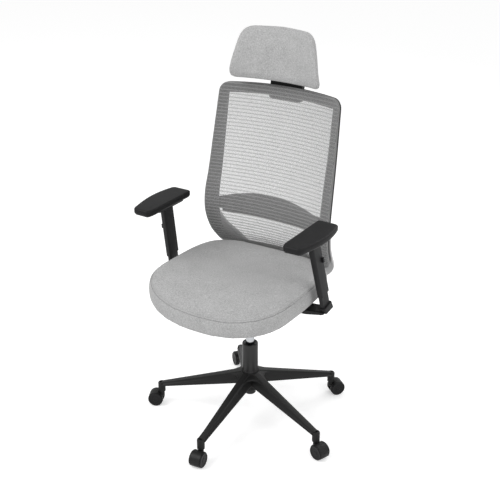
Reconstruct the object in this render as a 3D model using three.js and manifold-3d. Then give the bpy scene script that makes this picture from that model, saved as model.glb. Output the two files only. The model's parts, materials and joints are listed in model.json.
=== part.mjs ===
// An ergonomic task chair: five-star base on twin-wheel casters, gas lift, synchronised tilt
// mechanism, padded seat, height-adjustable arms, mesh back with lumbar support, and headrest.
// Millimetres, +Z up. The sitter faces -Y, so +X is the sitter's left. Every height below is
// measured from the floor, and every plan position from the axis of the gas lift.
import * as THREE from "three";
import Module from "manifold-3d";

const wasm = await Module();
wasm.setup();

// ---------------------------------------------------------------- driving dimensions

// Clearances
const seatGap = 0.3; // between two pieces that rest on each other
const runGap = 0.5; // between a piece and the guide or hub it moves in
const facetSlack = 0.02; // slivers thinner than this are merged into their neighbours
const skinGap = 0.95; // between curved or soft surfaces that follow each other

// Casters
const casterCount = 5;
const wheelRadius = 25;
const wheelOuterFace = 21; // from the caster's middle plane to the disc's outer face
const wheelInnerFace = 5.5;
const discThickness = 3.4;
const casterTrail = 20; // wheel axle behind the stem's axis
const axleRadius = 3;
const stemRadius = 5.5;
const stemLength = 34;
const hoodWall = 1.5;
// Direction in which each caster trails, in degrees from +X, in the order of the legs
const casterHeadings = [206, 276, 340, 50, 140];

// Star base
const legReach = 308; // lift axis to caster stem
const baseTurn = 200.2; // direction of the first leg
const legRoot = 30; // where a leg leaves the hub; its sizes run straight from here to the tip
const legRootTopWidth = 24;
const legTipTopWidth = 15;
const legRootFootWidth = 43;
const legTipFootWidth = 28;
const legRootTop = 171;
const legTipTop = 88;
const legRootBottom = 130;
const legTipBottom = 76;
const legBead = 1.4; // the raised edge between a leg's top and its hollowed side
const legHollow = 2.2; // how far the side is hollowed
const legWall = 3.2;
const filletReach = 86; // where the arch between two legs runs out into them
const deckThickness = 8;
const hubTop = 172;
const hubRadius = 26.5;
const hubBottom = 104;
const hubRecess = 2.5; // depth of the ring round the column
const ribPitch = 66;
const ribThickness = 2.4;
const socketRadius = 12.5;
const socketBottom = 52.6;

// Gas lift
const tubeRadius = 24;
const tubeSkirtRadius = 25.6; // the tube is widest where it stands on the hub
const tubeNeckRadius = 22.6; // top of the taper that wedges in the hub
const tubeFootRadius = 20.4; // bottom of that taper
const tubeEndRadius = 19;
const tubeFoot = 88;
const tubeTop = 278;
const tubeWall = 2.5;
const bushLength = 62;
const bushFunnel = 6; // depth of the bush's dished top
const cylinderRadius = 14;
const cylinderFoot = 214;
const cylinderTop = 462;
const liftStroke = 95;
const rodRadius = 5;
const rodEngaged = 30; // length of rod inside the raised cylinder
const bearingHeight = 7;

// Seat
const seatHalfWidth = 248;
const seatFront = -312;
const seatRear = 160;
const seatWidest = -145; // the plan outline is widest here
const seatFrontPower = 2.4;
const seatRearPower = 3;
const cushionSeam = 557; // height of the upper seam, behind the waterfall front
const cushionBand = 56; // height of the side band
const cushionCrown = 7; // the top swells this much above the seam
const waterfall = 41; // the front edge is this much lower
const panThickness = 14;
const panInset = 7;
const panEdge = 8; // thickness of the pan's rim
const plateThickness = 4;
const plateWidth = 176;
const plateLength = 206;

// Tilt mechanism
const housingWidth = 128;
const housingFront = -118;
const housingRear = 84;
const housingHeight = 56;
const housingWall = 4;
const housingDrop = 5; // from the seat plate down to the housing's rim in front
const seatPivot = { y: -92, z: 464 };
const backPivot = { y: 62, z: 440 };
const pivotPinRadius = 6;
const earRadius = 12; // of the plates that hang on the pivot pins
const earThickness = 5;
const seatTiltMost = 8; // degrees by which the seat's rear edge goes down
const springRadius = 19;
const springWire = 2.4;
const springTurns = 5;
const springCentre = -64;
const springHeight = 26;
const boltRadius = 5;
const knobRadius = 29;
const knobHeight = 24;
const knobGrips = 10;
const leverRodRadius = 4;
const leverReach = 222; // lift axis to the end of the paddle
const leverPaddle = { length: 52, width: 26, thickness: 7, offset: 9 };
const liftLeverY = -78;
const lockLeverY = 40;
const leverHeight = 447;

// Arms
const postTopLean = -0.0782; // sideways travel of the post per millimetre of height, inward
const postForeLean = -0.2383; // fore-and-aft travel per millimetre of height, forward
const postFoot = new THREE.Vector3(280.7, -23.4, 501.7); // joint between knuckle and upright
const sleeveThickness = 17;
const sleeveDepth = 47;
const sleeveWall = 2.1;
const sleeveFoot = 43.5; // along the post, from the joint up to the sleeve's lower edge
const padTop = 758;
const padThickness = 23;
const padInner = 233;
const padOuter = 309;
const padFront = -205;
const padRear = 16;
const carrierThickness = 6;
const carrierLength = 130;
const buttonAlong = 160; // along the post, from the joint
const buttonSize = { out: 7, width: 8, height: 15 };
const buttonTravel = 2;
const armDown = 35; // how far the sleeve slides down its upright
const armUp = 45;
const bracketThickness = 14;
const bracketWidth = 52;
const bracketInner = 104;
const knuckleDrop = 36;

// Back: the mesh's front face is this surface, in side view and in plan
const backProfile = [
  // height, y at the side edges, half width
  [440, 161, 190],
  [485, 166, 198],
  [524, 161, 200],
  [562, 131.5, 209],
  [605, 99, 220.5],
  [667, 80, 226.5],
  [729, 85, 226],
  [812, 105, 222],
  [916, 127, 218],
  [1071, 158, 210.5],
  [1110, 165.5, 208.5],
].map(([z, y, w]) => ({ z, y, w }));
const levelPitch = 28; // the back is faceted at every such step in height
const backSag = 29; // the middle lies this much further back than the sides
const frameBottom = 524;
const frameCorner = 1080; // height at which the arched top starts
const frameArch = 14;
const frameTopRadius = 27;
const frameFootRadius = 34;
const frameBand = 31;
const frameDepth = 21;
const frameEdge = 2.2; // the bare rear rim stands out past the mesh by this much
const meshThickness = 1.2;
const yokeTop = 650;
const yokeShoulder = 545; // below this height its arms curve in to the middle
const yokeBottom = 444;
const yokeBand = 38;
const yokeTipBand = 24;
const yokeDepth = 13;
const yokeGap = 1.8; // from the frame, where the two curve together
const yokeSeatWidth = 110; // the flat to which the bar is bolted
const barEnd = 177;
const barHeight = 24;
const lumbarOverYoke = 20; // the pad's lower edge at rest, above the yoke's arms
const lumbarFoot = yokeTop + lumbarOverYoke;
const lumbarEndHeight = 48;
const lumbarMiddleHeight = 80;
const lumbarThickness = 8;
const lumbarClear = 3; // from the mesh's surface back to the pad
const lumbarHalfWidth = 190; // to the step at each end
const lumbarTab = 22; // length of the tab behind the frame

// Headrest
const headOverFrame = 21; // the headrest's lower edge, above the frame's arch
const headBottom = frameCorner + frameArch + headOverFrame;
const headHeight = 156;
const headTop = headBottom + headHeight;
const headBottomHalf = 151;
const headTopHalf = 130;
const headFrontY = 106; // front face at the lower corners
const headLean = 0.104;
const headWrap = 44; // the middle lies this much further back than the corners
const headThickness = 28;
const headShell = 4;
const mountWidth = 113;
const mountHeight = 75;
const mountOverCorner = 38; // the bracket's upper edge, above the height of the frame's corners
const mountTop = frameCorner + mountOverCorner;
const mountFoot = mountTop - mountHeight;
const mountThickness = 9;
const headPivotRise = 63; // the hinge, above the headrest's lower edge
const headPivotHeight = headBottom + headPivotRise;
const headArmWidth = 46;
const headArmThickness = 8;
const headLift = 50; // how far the arm slides up
const headEngaged = 23; // length of arm still in its bracket when it is fully up
const headPinRadius = 4;
const headLugThickness = 7;

// ---------------------------------------------------------------- materials

const paint = (color, roughness, metalness = 0) =>
  new THREE.MeshStandardMaterial({ color, roughness, metalness });
const nylon = paint(0x2b2b2c, 0.55);
const softBlack = paint(0x303031, 0.75);
const blackSteel = paint(0x222223, 0.4, 0.6);
const chrome = paint(0xc9ccd0, 0.15, 1);
const springSteel = paint(0x6e7175, 0.35, 0.9);
const fabric = paint(0xaeafb1, 0.95);
const meshCloth = paint(0xc4c6c8, 0.9);
const greyNylon = paint(0xb9bbbd, 0.55);

// ---------------------------------------------------------------- solids

// A closed geometry as a manifold-3d solid that faces outwards.
function solid(geometry) {
  const at = geometry.getAttribute("position");
  const order = geometry.index ? [...geometry.index.array] : [...Array(at.count).keys()];
  const numbers = new Map();
  const points = [];
  const corners = order.map((i) => {
    const point = [at.getX(i), at.getY(i), at.getZ(i)].map((v) => Math.round(v * 1e4) / 1e4 + 0);
    const key = point.join();
    if (!numbers.has(key)) {
      numbers.set(key, numbers.size);
      points.push(...point);
    }
    return numbers.get(key);
  });
  const faces = [];
  let volume = 0;
  for (let i = 0; i < corners.length; i += 3) {
    const [p, q, r] = corners.slice(i, i + 3);
    if (p === q || q === r || r === p) continue;
    faces.push(p, q, r);
    const [a, b, c] = [p, q, r].map((n) => new THREE.Vector3().fromArray(points, 3 * n));
    volume += a.dot(b.cross(c));
  }
  if (volume < 0) faces.reverse();
  return new wasm.Manifold(
    new wasm.Mesh({
      numProp: 3,
      vertProperties: new Float32Array(points),
      triVerts: new Uint32Array(faces),
    }),
  );
}

const join = (...bodies) => bodies.reduce((whole, body) => whole.add(body));
const cut = (body, ...tools) => tools.reduce((whole, tool) => whole.subtract(tool), body);
const meet = (...bodies) => bodies.reduce((whole, body) => whole.intersect(body));

// A named mesh of one finished solid.
function part(name, body, material) {
  const data = body.simplify(facetSlack).getMesh();
  const geometry = new THREE.BufferGeometry();
  geometry.setAttribute("position", new THREE.BufferAttribute(data.vertProperties, 3));
  geometry.setIndex(new THREE.BufferAttribute(data.triVerts, 1));
  const faceted = geometry.toNonIndexed();
  faceted.computeVertexNormals();
  const mesh = new THREE.Mesh(faceted, material);
  mesh.name = name;
  return mesh;
}

// A profile of [radius, height] points turned about +Z.
function turned(profile, segments = 20) {
  const points = profile.map(([r, z]) => new THREE.Vector2(Math.max(r, 0), z));
  return new THREE.LatheGeometry(points, segments).rotateX(Math.PI / 2);
}

// A ring between two radii and two heights.
const tube = (inner, outer, low, high, segments) =>
  turned([[inner, low], [outer, low], [outer, high], [inner, high], [inner, low]], segments);

// A round bar from one height to another.
const bar = (radius, low, high, segments) =>
  turned([[0, low], [radius, low], [radius, high], [0, high]], segments);

// A closed outline with its corners rounded.
function roundedOutline(corners, radius) {
  const shape = new THREE.Shape();
  corners.forEach(([x, y], i) => {
    const here = new THREE.Vector2(x, y);
    const [before, after] = [-1, 1].map((step) => {
      const [nx, ny] = corners[(i + step + corners.length) % corners.length];
      const way = new THREE.Vector2(nx, ny).sub(here);
      return way.setLength(Math.min(radius, way.length() * 0.49)).add(here);
    });
    if (i === 0) shape.moveTo(before.x, before.y);
    else shape.lineTo(before.x, before.y);
    shape.quadraticCurveTo(here.x, here.y, after.x, after.y);
  });
  shape.closePath();
  return shape;
}

// A rectangle about the origin as corner points.
const rectangle = (width, height) => [
  [-width / 2, -height / 2],
  [width / 2, -height / 2],
  [width / 2, height / 2],
  [-width / 2, height / 2],
];

// An outline in X and Y, given thickness upwards from a height, with an optional edge bevel.
function slab(shape, low, high, bevel = 0, curveSegments = 4) {
  const points = shape.getPoints(curveSegments);
  const apart = points.filter((point, i) => {
    const before = points[(i - 1 + points.length) % points.length];
    return point.distanceTo(before) > 1e-3;
  });
  const geometry = new THREE.ExtrudeGeometry(new THREE.Shape(apart), {
    depth: high - low - 2 * bevel,
    bevelEnabled: bevel > 0,
    bevelThickness: bevel,
    bevelSize: bevel,
    bevelOffset: -bevel,
    bevelSegments: 1,
  });
  return geometry.translate(0, 0, low + bevel);
}

// An outline in Y and Z, given width along X about the middle plane.
function sideProfile(shape, width, bevel = 0, curveSegments = 4) {
  const geometry = slab(shape, -width / 2, width / 2, bevel, curveSegments);
  return geometry.applyMatrix4(new THREE.Matrix4().set(0, 0, 1, 0, 1, 0, 0, 0, 0, 1, 0, 0, 0, 0, 0, 1));
}

// An outline in X and Z, given depth along Y about y = 0.
function frontProfile(shape, depth, bevel = 0, curveSegments = 4) {
  const geometry = slab(shape, -depth / 2, depth / 2, bevel, curveSegments);
  return geometry.rotateX(Math.PI / 2);
}

// A skin over rings of points, each ring with the same number of points. The first and last
// rings are closed by a fan, unless the rings themselves run round to the start.
function skin(rings, loop = false) {
  const count = rings[0].length;
  const points = rings.flat();
  const faces = [];
  const last = loop ? rings.length : rings.length - 1;
  for (let i = 0; i < last; i++) {
    for (let j = 0; j < count; j++) {
      const [k, l] = [(j + 1) % count, ((i + 1) % rings.length) * count];
      const [a, b, c, d] = [i * count + j, i * count + k, l + k, l + j];
      faces.push(a, b, c, a, c, d);
    }
  }
  if (!loop) {
    [0, rings.length - 1].forEach((i) => {
      const middle = new THREE.Vector3();
      rings[i].forEach((point) => middle.add(point));
      points.push(middle.divideScalar(count));
      const hub = points.length - 1;
      for (let j = 0; j < count; j++) {
        const [a, b] = [i * count + j, i * count + ((j + 1) % count)];
        if (i === 0) faces.push(hub, b, a);
        else faces.push(hub, a, b);
      }
    });
  }
  const geometry = new THREE.BufferGeometry().setFromPoints(points);
  return geometry.setIndex(faces);
}

const rad = THREE.MathUtils.degToRad;
const lerp = THREE.MathUtils.lerp;

// ---------------------------------------------------------------- star base

const legAngles = Array.from({ length: casterCount }, (_, i) =>
  rad(baseTurn + (360 / casterCount) * i),
);

// A size that runs straight along a leg, from its root to its tip.
const alongLeg = (root, tip, r) => root + ((tip - root) * (r - legRoot)) / (legReach - legRoot);

// One cross-section of a leg, at a distance from the lift axis: a narrow top with beaded edges,
// and hollowed sides that flare out to the foot. The wall is taken off all round.
function legSection(r, wall, floor) {
  const top = alongLeg(legRootTop, legTipTop, r) - wall;
  const foot = alongLeg(legRootBottom, legTipBottom, r) - floor;
  const upper = alongLeg(legRootTopWidth, legTipTopWidth, r) / 2 - wall;
  const lower = alongLeg(legRootFootWidth, legTipFootWidth, r) / 2 - wall;
  const bead = Math.max(legBead - wall, 0);
  const waist = (share) => lerp(upper, lower, share) - legHollow * Math.sin(Math.PI * share);
  const half = [
    [upper - 1.2, top],
    [upper, top - 1.2],
    [upper, top - 3.2],
    [upper - bead, top - 4.6],
    [waist(0.35), lerp(top - 4.6, foot + 3, 0.35)],
    [waist(0.75), lerp(top - 4.6, foot + 3, 0.75)],
    [lower, foot + 3],
    [lower, foot],
  ];
  const mirrored = half.map(([x, z]) => [-x, z]).reverse();
  return [...half, ...mirrored].map(([x, z]) => new THREE.Vector3(r, x, z));
}

// The deck's plan outline: the legs' tops, run together by an arch between each two.
function deckOutline() {
  const half = Math.PI / casterCount;
  const side = (r) => alongLeg(legRootTopWidth, legTipTopWidth, r) / 2;
  const corner = side(legRoot) / Math.sin(half);
  const shape = new THREE.Shape();
  const along = (angle, r, offset) => [
    r * Math.cos(angle) - offset * Math.sin(angle),
    r * Math.sin(angle) + offset * Math.cos(angle),
  ];
  const reach = side(filletReach) - legBead;
  legAngles.forEach((angle, i) => {
    if (i === 0) shape.moveTo(...along(angle, filletReach, -reach));
    shape.lineTo(...along(angle, filletReach, reach));
    const turn = angle + half;
    shape.quadraticCurveTo(
      corner * Math.cos(turn),
      corner * Math.sin(turn),
      ...along(angle + 2 * half, filletReach, -reach),
    );
  });
  return shape;
}

function starBase() {
  const turnedLegs = (body) => legAngles.map((angle) => body.rotate(0, 0, (angle * 180) / Math.PI));
  const stations = [10, 120, legReach];
  const leg = solid(skin(stations.map((r) => legSection(r, 0, 0))));
  const inside = [hubRadius + legWall, legReach - socketRadius];
  const hollow = solid(
    skin(inside.map((r) => legSection(r, legWall, legRootTop).filter((_, i) => i % 3 !== 1))),
  );
  const ribs = [];
  for (let r = inside[0] + ribPitch; r < inside[1] - ribThickness; r += ribPitch) {
    const rib = new THREE.BoxGeometry(ribThickness, 2 * legRootFootWidth, 3 * legRootTop);
    ribs.push(solid(rib.translate(r, 0, 0)));
  }
  const ribbed = cut(leg, cut(hollow, ...ribs));

  // The deck follows the slope of the legs' tops.
  const slope = (r, drop) => alongLeg(legRootTop, legTipTop, r) - drop;
  const edge = filletReach + legRootTopWidth;
  const layer = solid(
    turned(
      [
        [0, slope(0, deckThickness)],
        [edge, slope(edge, deckThickness)],
        [edge, slope(edge, legBead)],
        [0, slope(0, legBead)],
      ],
      20,
    ),
  );
  const deck = meet(layer, solid(slab(deckOutline(), 0, 2 * legRootTop, 0, 7)));
  const hub = solid(
    turned([
      [0, hubBottom],
      [hubRadius - 2, hubBottom],
      [hubRadius, hubBottom + 2],
      [hubRadius + 1.5, hubTop - deckThickness],
      [hubRadius + 4, hubTop - hubRecess],
      [hubRadius + 3, hubTop],
      [0, hubTop],
    ]),
  );
  const socket = solid(
    turned(
      [
        [0, socketBottom],
        [socketRadius, socketBottom],
        [socketRadius, legTipTop - 5],
        [socketRadius - 1.5, legTipTop - 2],
        [socketRadius - 4.5, legTipTop - 0.5],
        [0, legTipTop - 0.5],
      ],
      16,
    ).translate(legReach, 0, 0),
  );
  const stemBore = solid(
    bar(stemRadius + runGap, 0, socketBottom + stemLength + 1, 12).translate(legReach, 0, 0),
  );
  const columnBore = solid(
    turned([
      [0, 0],
      [tubeFootRadius + seatGap, 0],
      [tubeFootRadius + seatGap, hubBottom],
      [tubeNeckRadius + seatGap, hubTop - hubRecess],
      [tubeSkirtRadius + 1.6, hubTop - hubRecess],
      [tubeSkirtRadius + 1.6, hubTop + 20],
      [0, hubTop + 20],
    ]),
  );
  const whole = join(...turnedLegs(join(ribbed, socket)), deck, hub);
  return cut(whole, columnBore, ...turnedLegs(stemBore));
}

// ---------------------------------------------------------------- casters

// In the caster's own frame the stem stands on the origin, and the wheels trail along +X.
const hoodRadius = wheelRadius + hoodWall;
const hoodHalfWidth = wheelOuterFace - discThickness - seatGap;

function casterHood() {
  const middle = wheelInnerFace - runGap;
  const along = (shape, half) =>
    solid(frontProfile(shape, 2 * half, 0, 5).translate(casterTrail, 0, wheelRadius));
  const [from, to] = [rad(-32), rad(158)];
  const rim = new THREE.Shape();
  rim.absarc(0, 0, hoodRadius, from, to, false);
  rim.absarc(0, 0, wheelRadius + runGap + 0.3, to, from, true);
  const web = new THREE.Shape();
  web.absarc(0, 0, hoodRadius, from, rad(168), false);
  web.absarc(0, 0, axleRadius + 4, rad(180), rad(300), false);
  const neck = bar(9, wheelRadius + 13, socketBottom - seatGap, 10);
  const lyingBar = (radius, half, segments) =>
    solid(
      bar(radius, -half, half, segments)
        .rotateX(Math.PI / 2)
        .translate(casterTrail, 0, wheelRadius),
    );
  const wheelRoom = cut(
    lyingBar(wheelRadius + runGap, 2 * wheelOuterFace, 18),
    solid(new THREE.BoxGeometry(8 * wheelRadius, 2 * middle, 8 * wheelRadius)),
  );
  const stem = bar(stemRadius, wheelRadius + 14, socketBottom + stemLength, 10);
  return cut(
    join(cut(join(solid(neck), solid(stem)), wheelRoom), along(web, middle), along(rim, hoodHalfWidth)),
    lyingBar(axleRadius + seatGap, wheelOuterFace, 8),
  );
}

// One wheel, its outer disc towards +Z, before it is laid over onto the axle.
function casterWheel() {
  const groove = wheelOuterFace - discThickness - 0.6;
  const bore = axleRadius + seatGap;
  return solid(
    turned(
      [
        [bore, wheelInnerFace],
        [wheelRadius, wheelInnerFace],
        [wheelRadius, groove],
        [wheelRadius - 3.2, wheelOuterFace],
        [0, wheelOuterFace],
        [0, wheelOuterFace - 3],
        [bore, wheelOuterFace - 3],
        [bore, wheelInnerFace],
      ],
      16,
    ),
  );
}

function casters() {
  const all = new THREE.Group();
  const axleEnd = wheelOuterFace - 3 - seatGap;
  legAngles.forEach((angle, i) => {
    const caster = new THREE.Group();
    caster.position.set(legReach * Math.cos(angle), legReach * Math.sin(angle), 0);
    caster.rotation.z = rad(casterHeadings[i % casterHeadings.length]);
    const number = i + 1;
    caster.add(part(`caster_hood_${number}`, casterHood(), nylon));
    const axle = part(`caster_axle_${number}`, solid(bar(axleRadius, -axleEnd, axleEnd, 8)), chrome);
    [["left", -1], ["right", 1]].forEach(([hand, side]) => {
      const wheel = part(`caster_wheel_${hand}_${number}`, casterWheel(), nylon);
      wheel.rotation.x = (side * Math.PI) / 2;
      wheel.position.set(casterTrail, 0, wheelRadius);
      caster.add(wheel);
    });
    axle.rotation.x = Math.PI / 2;
    axle.position.set(casterTrail, 0, wheelRadius);
    caster.add(axle);
    all.add(caster);
  });
  return all;
}

// ---------------------------------------------------------------- gas lift

const tubeFloor = tubeFoot + 6;
const skirtFoot = hubTop - hubRecess + seatGap;

function columnTube() {
  return solid(
    turned([
      [rodRadius + runGap, tubeFoot],
      [tubeEndRadius - 1.5, tubeFoot],
      [tubeEndRadius, tubeFoot + 2],
      [tubeEndRadius, hubBottom - 1],
      [tubeFootRadius, hubBottom],
      [tubeNeckRadius, skirtFoot],
      [tubeSkirtRadius, skirtFoot],
      [tubeSkirtRadius, skirtFoot + 8],
      [tubeRadius, skirtFoot + 30],
      [tubeRadius, tubeTop - 1.5],
      [tubeRadius - 1.5, tubeTop],
      [tubeRadius - tubeWall, tubeTop],
      [tubeRadius - tubeWall, skirtFoot + 30],
      [tubeNeckRadius - tubeWall, skirtFoot],
      [tubeFootRadius - tubeWall, hubBottom],
      [tubeEndRadius - tubeWall, hubBottom - 1],
      [tubeEndRadius - tubeWall, tubeFloor],
      [rodRadius + runGap, tubeFloor],
      [rodRadius + runGap, tubeFoot],
    ]),
  );
}

function guideBush() {
  const outer = tubeRadius - tubeWall - seatGap;
  const inner = cylinderRadius + runGap / 2;
  return solid(
    turned([
      [inner, tubeTop - bushLength],
      [outer, tubeTop - bushLength],
      [outer, tubeTop - 1],
      [outer - 1, tubeTop - 0.5],
      [inner, tubeTop - bushFunnel],
      [inner, tubeTop - bushLength],
    ]),
  );
}

const rodTop = cylinderFoot + rodEngaged;

function liftRod() {
  return solid(
    turned([
      [0, tubeFoot - 4],
      [rodRadius + 3, tubeFoot - 4],
      [rodRadius + 3, tubeFoot - seatGap],
      [rodRadius, tubeFoot - seatGap],
      [rodRadius, rodTop],
      [0, rodTop],
    ], 16),
  );
}

function gasCylinder() {
  const bore = rodRadius + runGap;
  const neck = cylinderTop - 10;
  const boreTop = rodTop + liftStroke + 6;
  return solid(
    turned([
      [bore, cylinderFoot],
      [cylinderRadius - 1, cylinderFoot],
      [cylinderRadius, cylinderFoot + 1],
      [cylinderRadius, neck - 44],
      [cylinderRadius - 1, neck],
      [rodRadius, neck],
      [rodRadius, cylinderTop],
      [0, cylinderTop],
      [0, boreTop],
      [bore, boreTop],
      [bore, cylinderFoot],
    ]),
  );
}

function gasLift() {
  const lift = new THREE.Group();
  lift.add(part("column_tube", columnTube(), nylon));
  lift.add(part("guide_bush", guideBush(), softBlack));
  const bearingLow = tubeFloor + seatGap;
  const bearing = tube(rodRadius + seatGap, tubeEndRadius - tubeWall - runGap, bearingLow,
    bearingLow + bearingHeight, 20);
  lift.add(part("thrust_bearing", solid(bearing), chrome));
  lift.add(part("lift_rod", liftRod(), chrome));
  lift.add(part("gas_cylinder", gasCylinder(), chrome));
  return lift;
}

// ---------------------------------------------------------------- seat

const cushionBottom = cushionSeam - cushionBand;
const panTop = cushionBottom - skinGap;
const panBottom = panTop - panThickness;
const seatSteps = 40;

// How far the waterfall front has dropped at a place.
function dropAt(y) {
  const t = THREE.MathUtils.clamp((seatWidest - y) / (seatWidest - seatFront), 0, 1.1);
  return waterfall * t * t;
}

// One ring of the seat's plan outline, drawn in by an inset and a share, at a height.
function seatRing(inset, share, height) {
  const ring = [];
  for (let i = 0; i < seatSteps; i++) {
    const turn = (2 * Math.PI * i) / seatSteps;
    const [c, s] = [Math.cos(turn), Math.sin(turn)];
    const power = 2 / (s > 0 ? seatRearPower : seatFrontPower);
    const reach = s > 0 ? seatRear - inset - seatWidest : seatWidest - seatFront - inset;
    const x = (seatHalfWidth - inset) * Math.sign(c) * Math.abs(c) ** power * share;
    const y = seatWidest + reach * Math.sign(s) * Math.abs(s) ** power * share;
    ring.push(new THREE.Vector3(x, y, height - dropAt(y)));
  }
  return ring;
}

function seatCushion() {
  const [low, high] = [cushionBottom, cushionSeam];
  return solid(
    skin([
      ...panShares.map((share) => seatRing(panInset, share, low)),
      seatRing(1, 1, low + 8),
      seatRing(0, 1, low + cushionBand / 2),
      seatRing(2, 1, high - 6),
      seatRing(8, 1, high),
      seatRing(8, 0.9, high + cushionCrown * 0.6),
      seatRing(8, 0.66, high + cushionCrown * 0.9),
      seatRing(8, 0.3, high + cushionCrown),
    ]),
  );
}

// Shares of the outline at which both the pan and the cushion on it have a ring.
const panShares = [0.06, 0.4, 0.75, 1];

function seatPan() {
  const under = panShares.slice(0, -1).map((share) => seatRing(panInset + 16, share, panBottom));
  const over = panShares.map((share) => seatRing(panInset, share, panTop)).reverse();
  const pan = solid(
    skin([
      ...under,
      seatRing(panInset + 16, 1, panBottom),
      seatRing(panInset + 3, 1, panTop - panEdge),
      seatRing(panInset, 1, panTop - panEdge + 3),
      ...over,
    ]),
  );
  // Two bosses under the pan carry the arm brackets.
  const bosses = [-1, 1].map((side) => {
    const outline = roundedOutline(rectangle(bossWidth, bracketWidth), 8);
    const boss = slab(outline, bracketTop + seatGap, panBottom + 3, 0, 3);
    return solid(boss.translate(side * (bracketInner + bossWidth / 2), postFoot.y, 0));
  });
  return join(pan, ...bosses);
}

const bossWidth = 74;
const bracketTop = panBottom - 14;
const plateTop = panBottom - seatGap;
const plateBottom = plateTop - plateThickness;

const earOffset = housingWidth / 2 + earThickness / 2 + runGap;

// A round bar along X through a place given as y and z.
function barAlongX(radius, length, place, segments = 14) {
  return bar(radius, -length / 2, length / 2, segments)
    .rotateY(Math.PI / 2)
    .translate(0, place.y, place.z);
}

// The steel plate under the pan, with two ears that hang on the front pivot pin.
function seatPlate() {
  const middle = seatPivot.y + plateLength / 2 - 22;
  const outline = roundedOutline(rectangle(plateWidth, plateLength), 14);
  const plate = solid(slab(outline, plateBottom, plateTop).translate(0, middle, 0));
  const ear = new THREE.Shape();
  ear.moveTo(seatPivot.y - earRadius, plateBottom + 1);
  ear.lineTo(seatPivot.y - earRadius, seatPivot.z);
  ear.absarc(seatPivot.y, seatPivot.z, earRadius, Math.PI, 2 * Math.PI, false);
  ear.lineTo(seatPivot.y + earRadius, plateBottom + 1);
  const ears = [-1, 1].map((side) =>
    solid(sideProfile(ear, earThickness, 0, 8).translate(side * earOffset, 0, 0)),
  );
  const hole = solid(barAlongX(pivotPinRadius + seatGap, plateWidth, seatPivot));
  const window = roundedOutline(rectangle(plateWidth - 2 * 44, plateLength - 2 * 58), 12);
  return cut(
    join(plate, ...ears),
    hole,
    solid(slab(window, 0, 2 * plateTop).translate(0, middle + 30, 0)),
  );
}

// ---------------------------------------------------------------- tilt mechanism

const housingTop = plateBottom - housingDrop;
const housingBottom = housingTop - housingHeight;
const springFloor = housingBottom + housingWall;
const socketTop = cylinderTop - 14;

// The housing's side view. Its rim falls away behind the pivot, clear of the tilting plate.
function housingSide(inset) {
  const rearTop = housingTop - (housingRear - seatPivot.y) * Math.tan(rad(seatTiltMost));
  const lift = inset > 0 ? housingHeight : 0;
  return roundedOutline(
    [
      [housingFront + inset, housingBottom + 14 + inset],
      [housingFront + 22, housingBottom + inset],
      [housingRear - 34, housingBottom + inset],
      [housingRear - inset, housingBottom + 16 + inset],
      [housingRear - inset, rearTop + lift],
      [seatPivot.y + 14, housingTop + lift],
      [housingFront + inset, housingTop + lift],
    ],
    6,
  );
}

function mechanismHousing() {
  const outer = solid(sideProfile(housingSide(0), housingWidth, 1.5));
  const inner = solid(sideProfile(housingSide(housingWall), housingWidth - 2 * housingWall));
  const socket = solid(bar(cylinderRadius + 8, housingBottom - 8, socketTop, 20));
  const cup = solid(
    bar(springRadius + 8, housingBottom - 6, housingBottom + 8, 18).translate(0, springCentre, 0),
  );
  const ribHeight = socketTop - 10 - springFloor;
  const ribs = [-1, 1].map((side) => {
    const rib = new THREE.BoxGeometry(housingWall, housingRear + 6, ribHeight + 4);
    rib.translate(side * (cylinderRadius + 20), (housingRear - 4) / 2, springFloor + ribHeight / 2);
    return meet(solid(rib), outer);
  });
  const braces = [-1, 1].map((side) => {
    const brace = new THREE.BoxGeometry(housingWidth / 2 - 4, housingWall, ribHeight + 4);
    brace.translate(side * (housingWidth / 4 + 2), 0, springFloor + ribHeight / 2);
    return meet(solid(brace), outer);
  });
  const body = join(cut(join(outer, cup), inner), socket, ...ribs, ...braces);
  const taper = solid(bar(cylinderRadius + seatGap, 0, 2 * cylinderTop, 20));
  const springRoom = solid(
    bar(springRadius + 4, springFloor, 2 * cylinderTop, 18).translate(0, springCentre, 0),
  );
  const boltHole = solid(bar(boltRadius + runGap, 0, cylinderTop, 12).translate(0, springCentre, 0));
  const pins = [seatPivot, backPivot].map((place) =>
    solid(barAlongX(pivotPinRadius + seatGap, 2 * housingWidth, place)),
  );
  const leverHoles = [liftLeverY, lockLeverY].map((y) =>
    solid(
      bar(leverRodRadius + runGap, cylinderRadius + 10, housingWidth, 12)
        .rotateY(-Math.PI / 2)
        .translate(0, y, leverHeight),
    ),
  );
  return cut(body, taper, springRoom, boltHole, ...pins, ...leverHoles);
}

// The steel coil that pushes the seat plate up, standing on the housing's floor.
function tiltSpring() {
  const low = springFloor + springWire + seatGap;
  const helix = new THREE.Curve();
  helix.getPoint = (t) => {
    const turn = 2 * Math.PI * springTurns * t;
    const height = low + springHeight * t;
    return new THREE.Vector3(springRadius * Math.cos(turn), springRadius * Math.sin(turn), height);
  };
  const wire = new THREE.Shape();
  wire.absarc(0, 0, springWire, 0, 2 * Math.PI, false);
  const coil = new THREE.ExtrudeGeometry(wire, {
    steps: springTurns * 9,
    extrudePath: helix,
    curveSegments: 3,
  });
  return solid(coil.translate(0, springCentre, 0));
}

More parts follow.
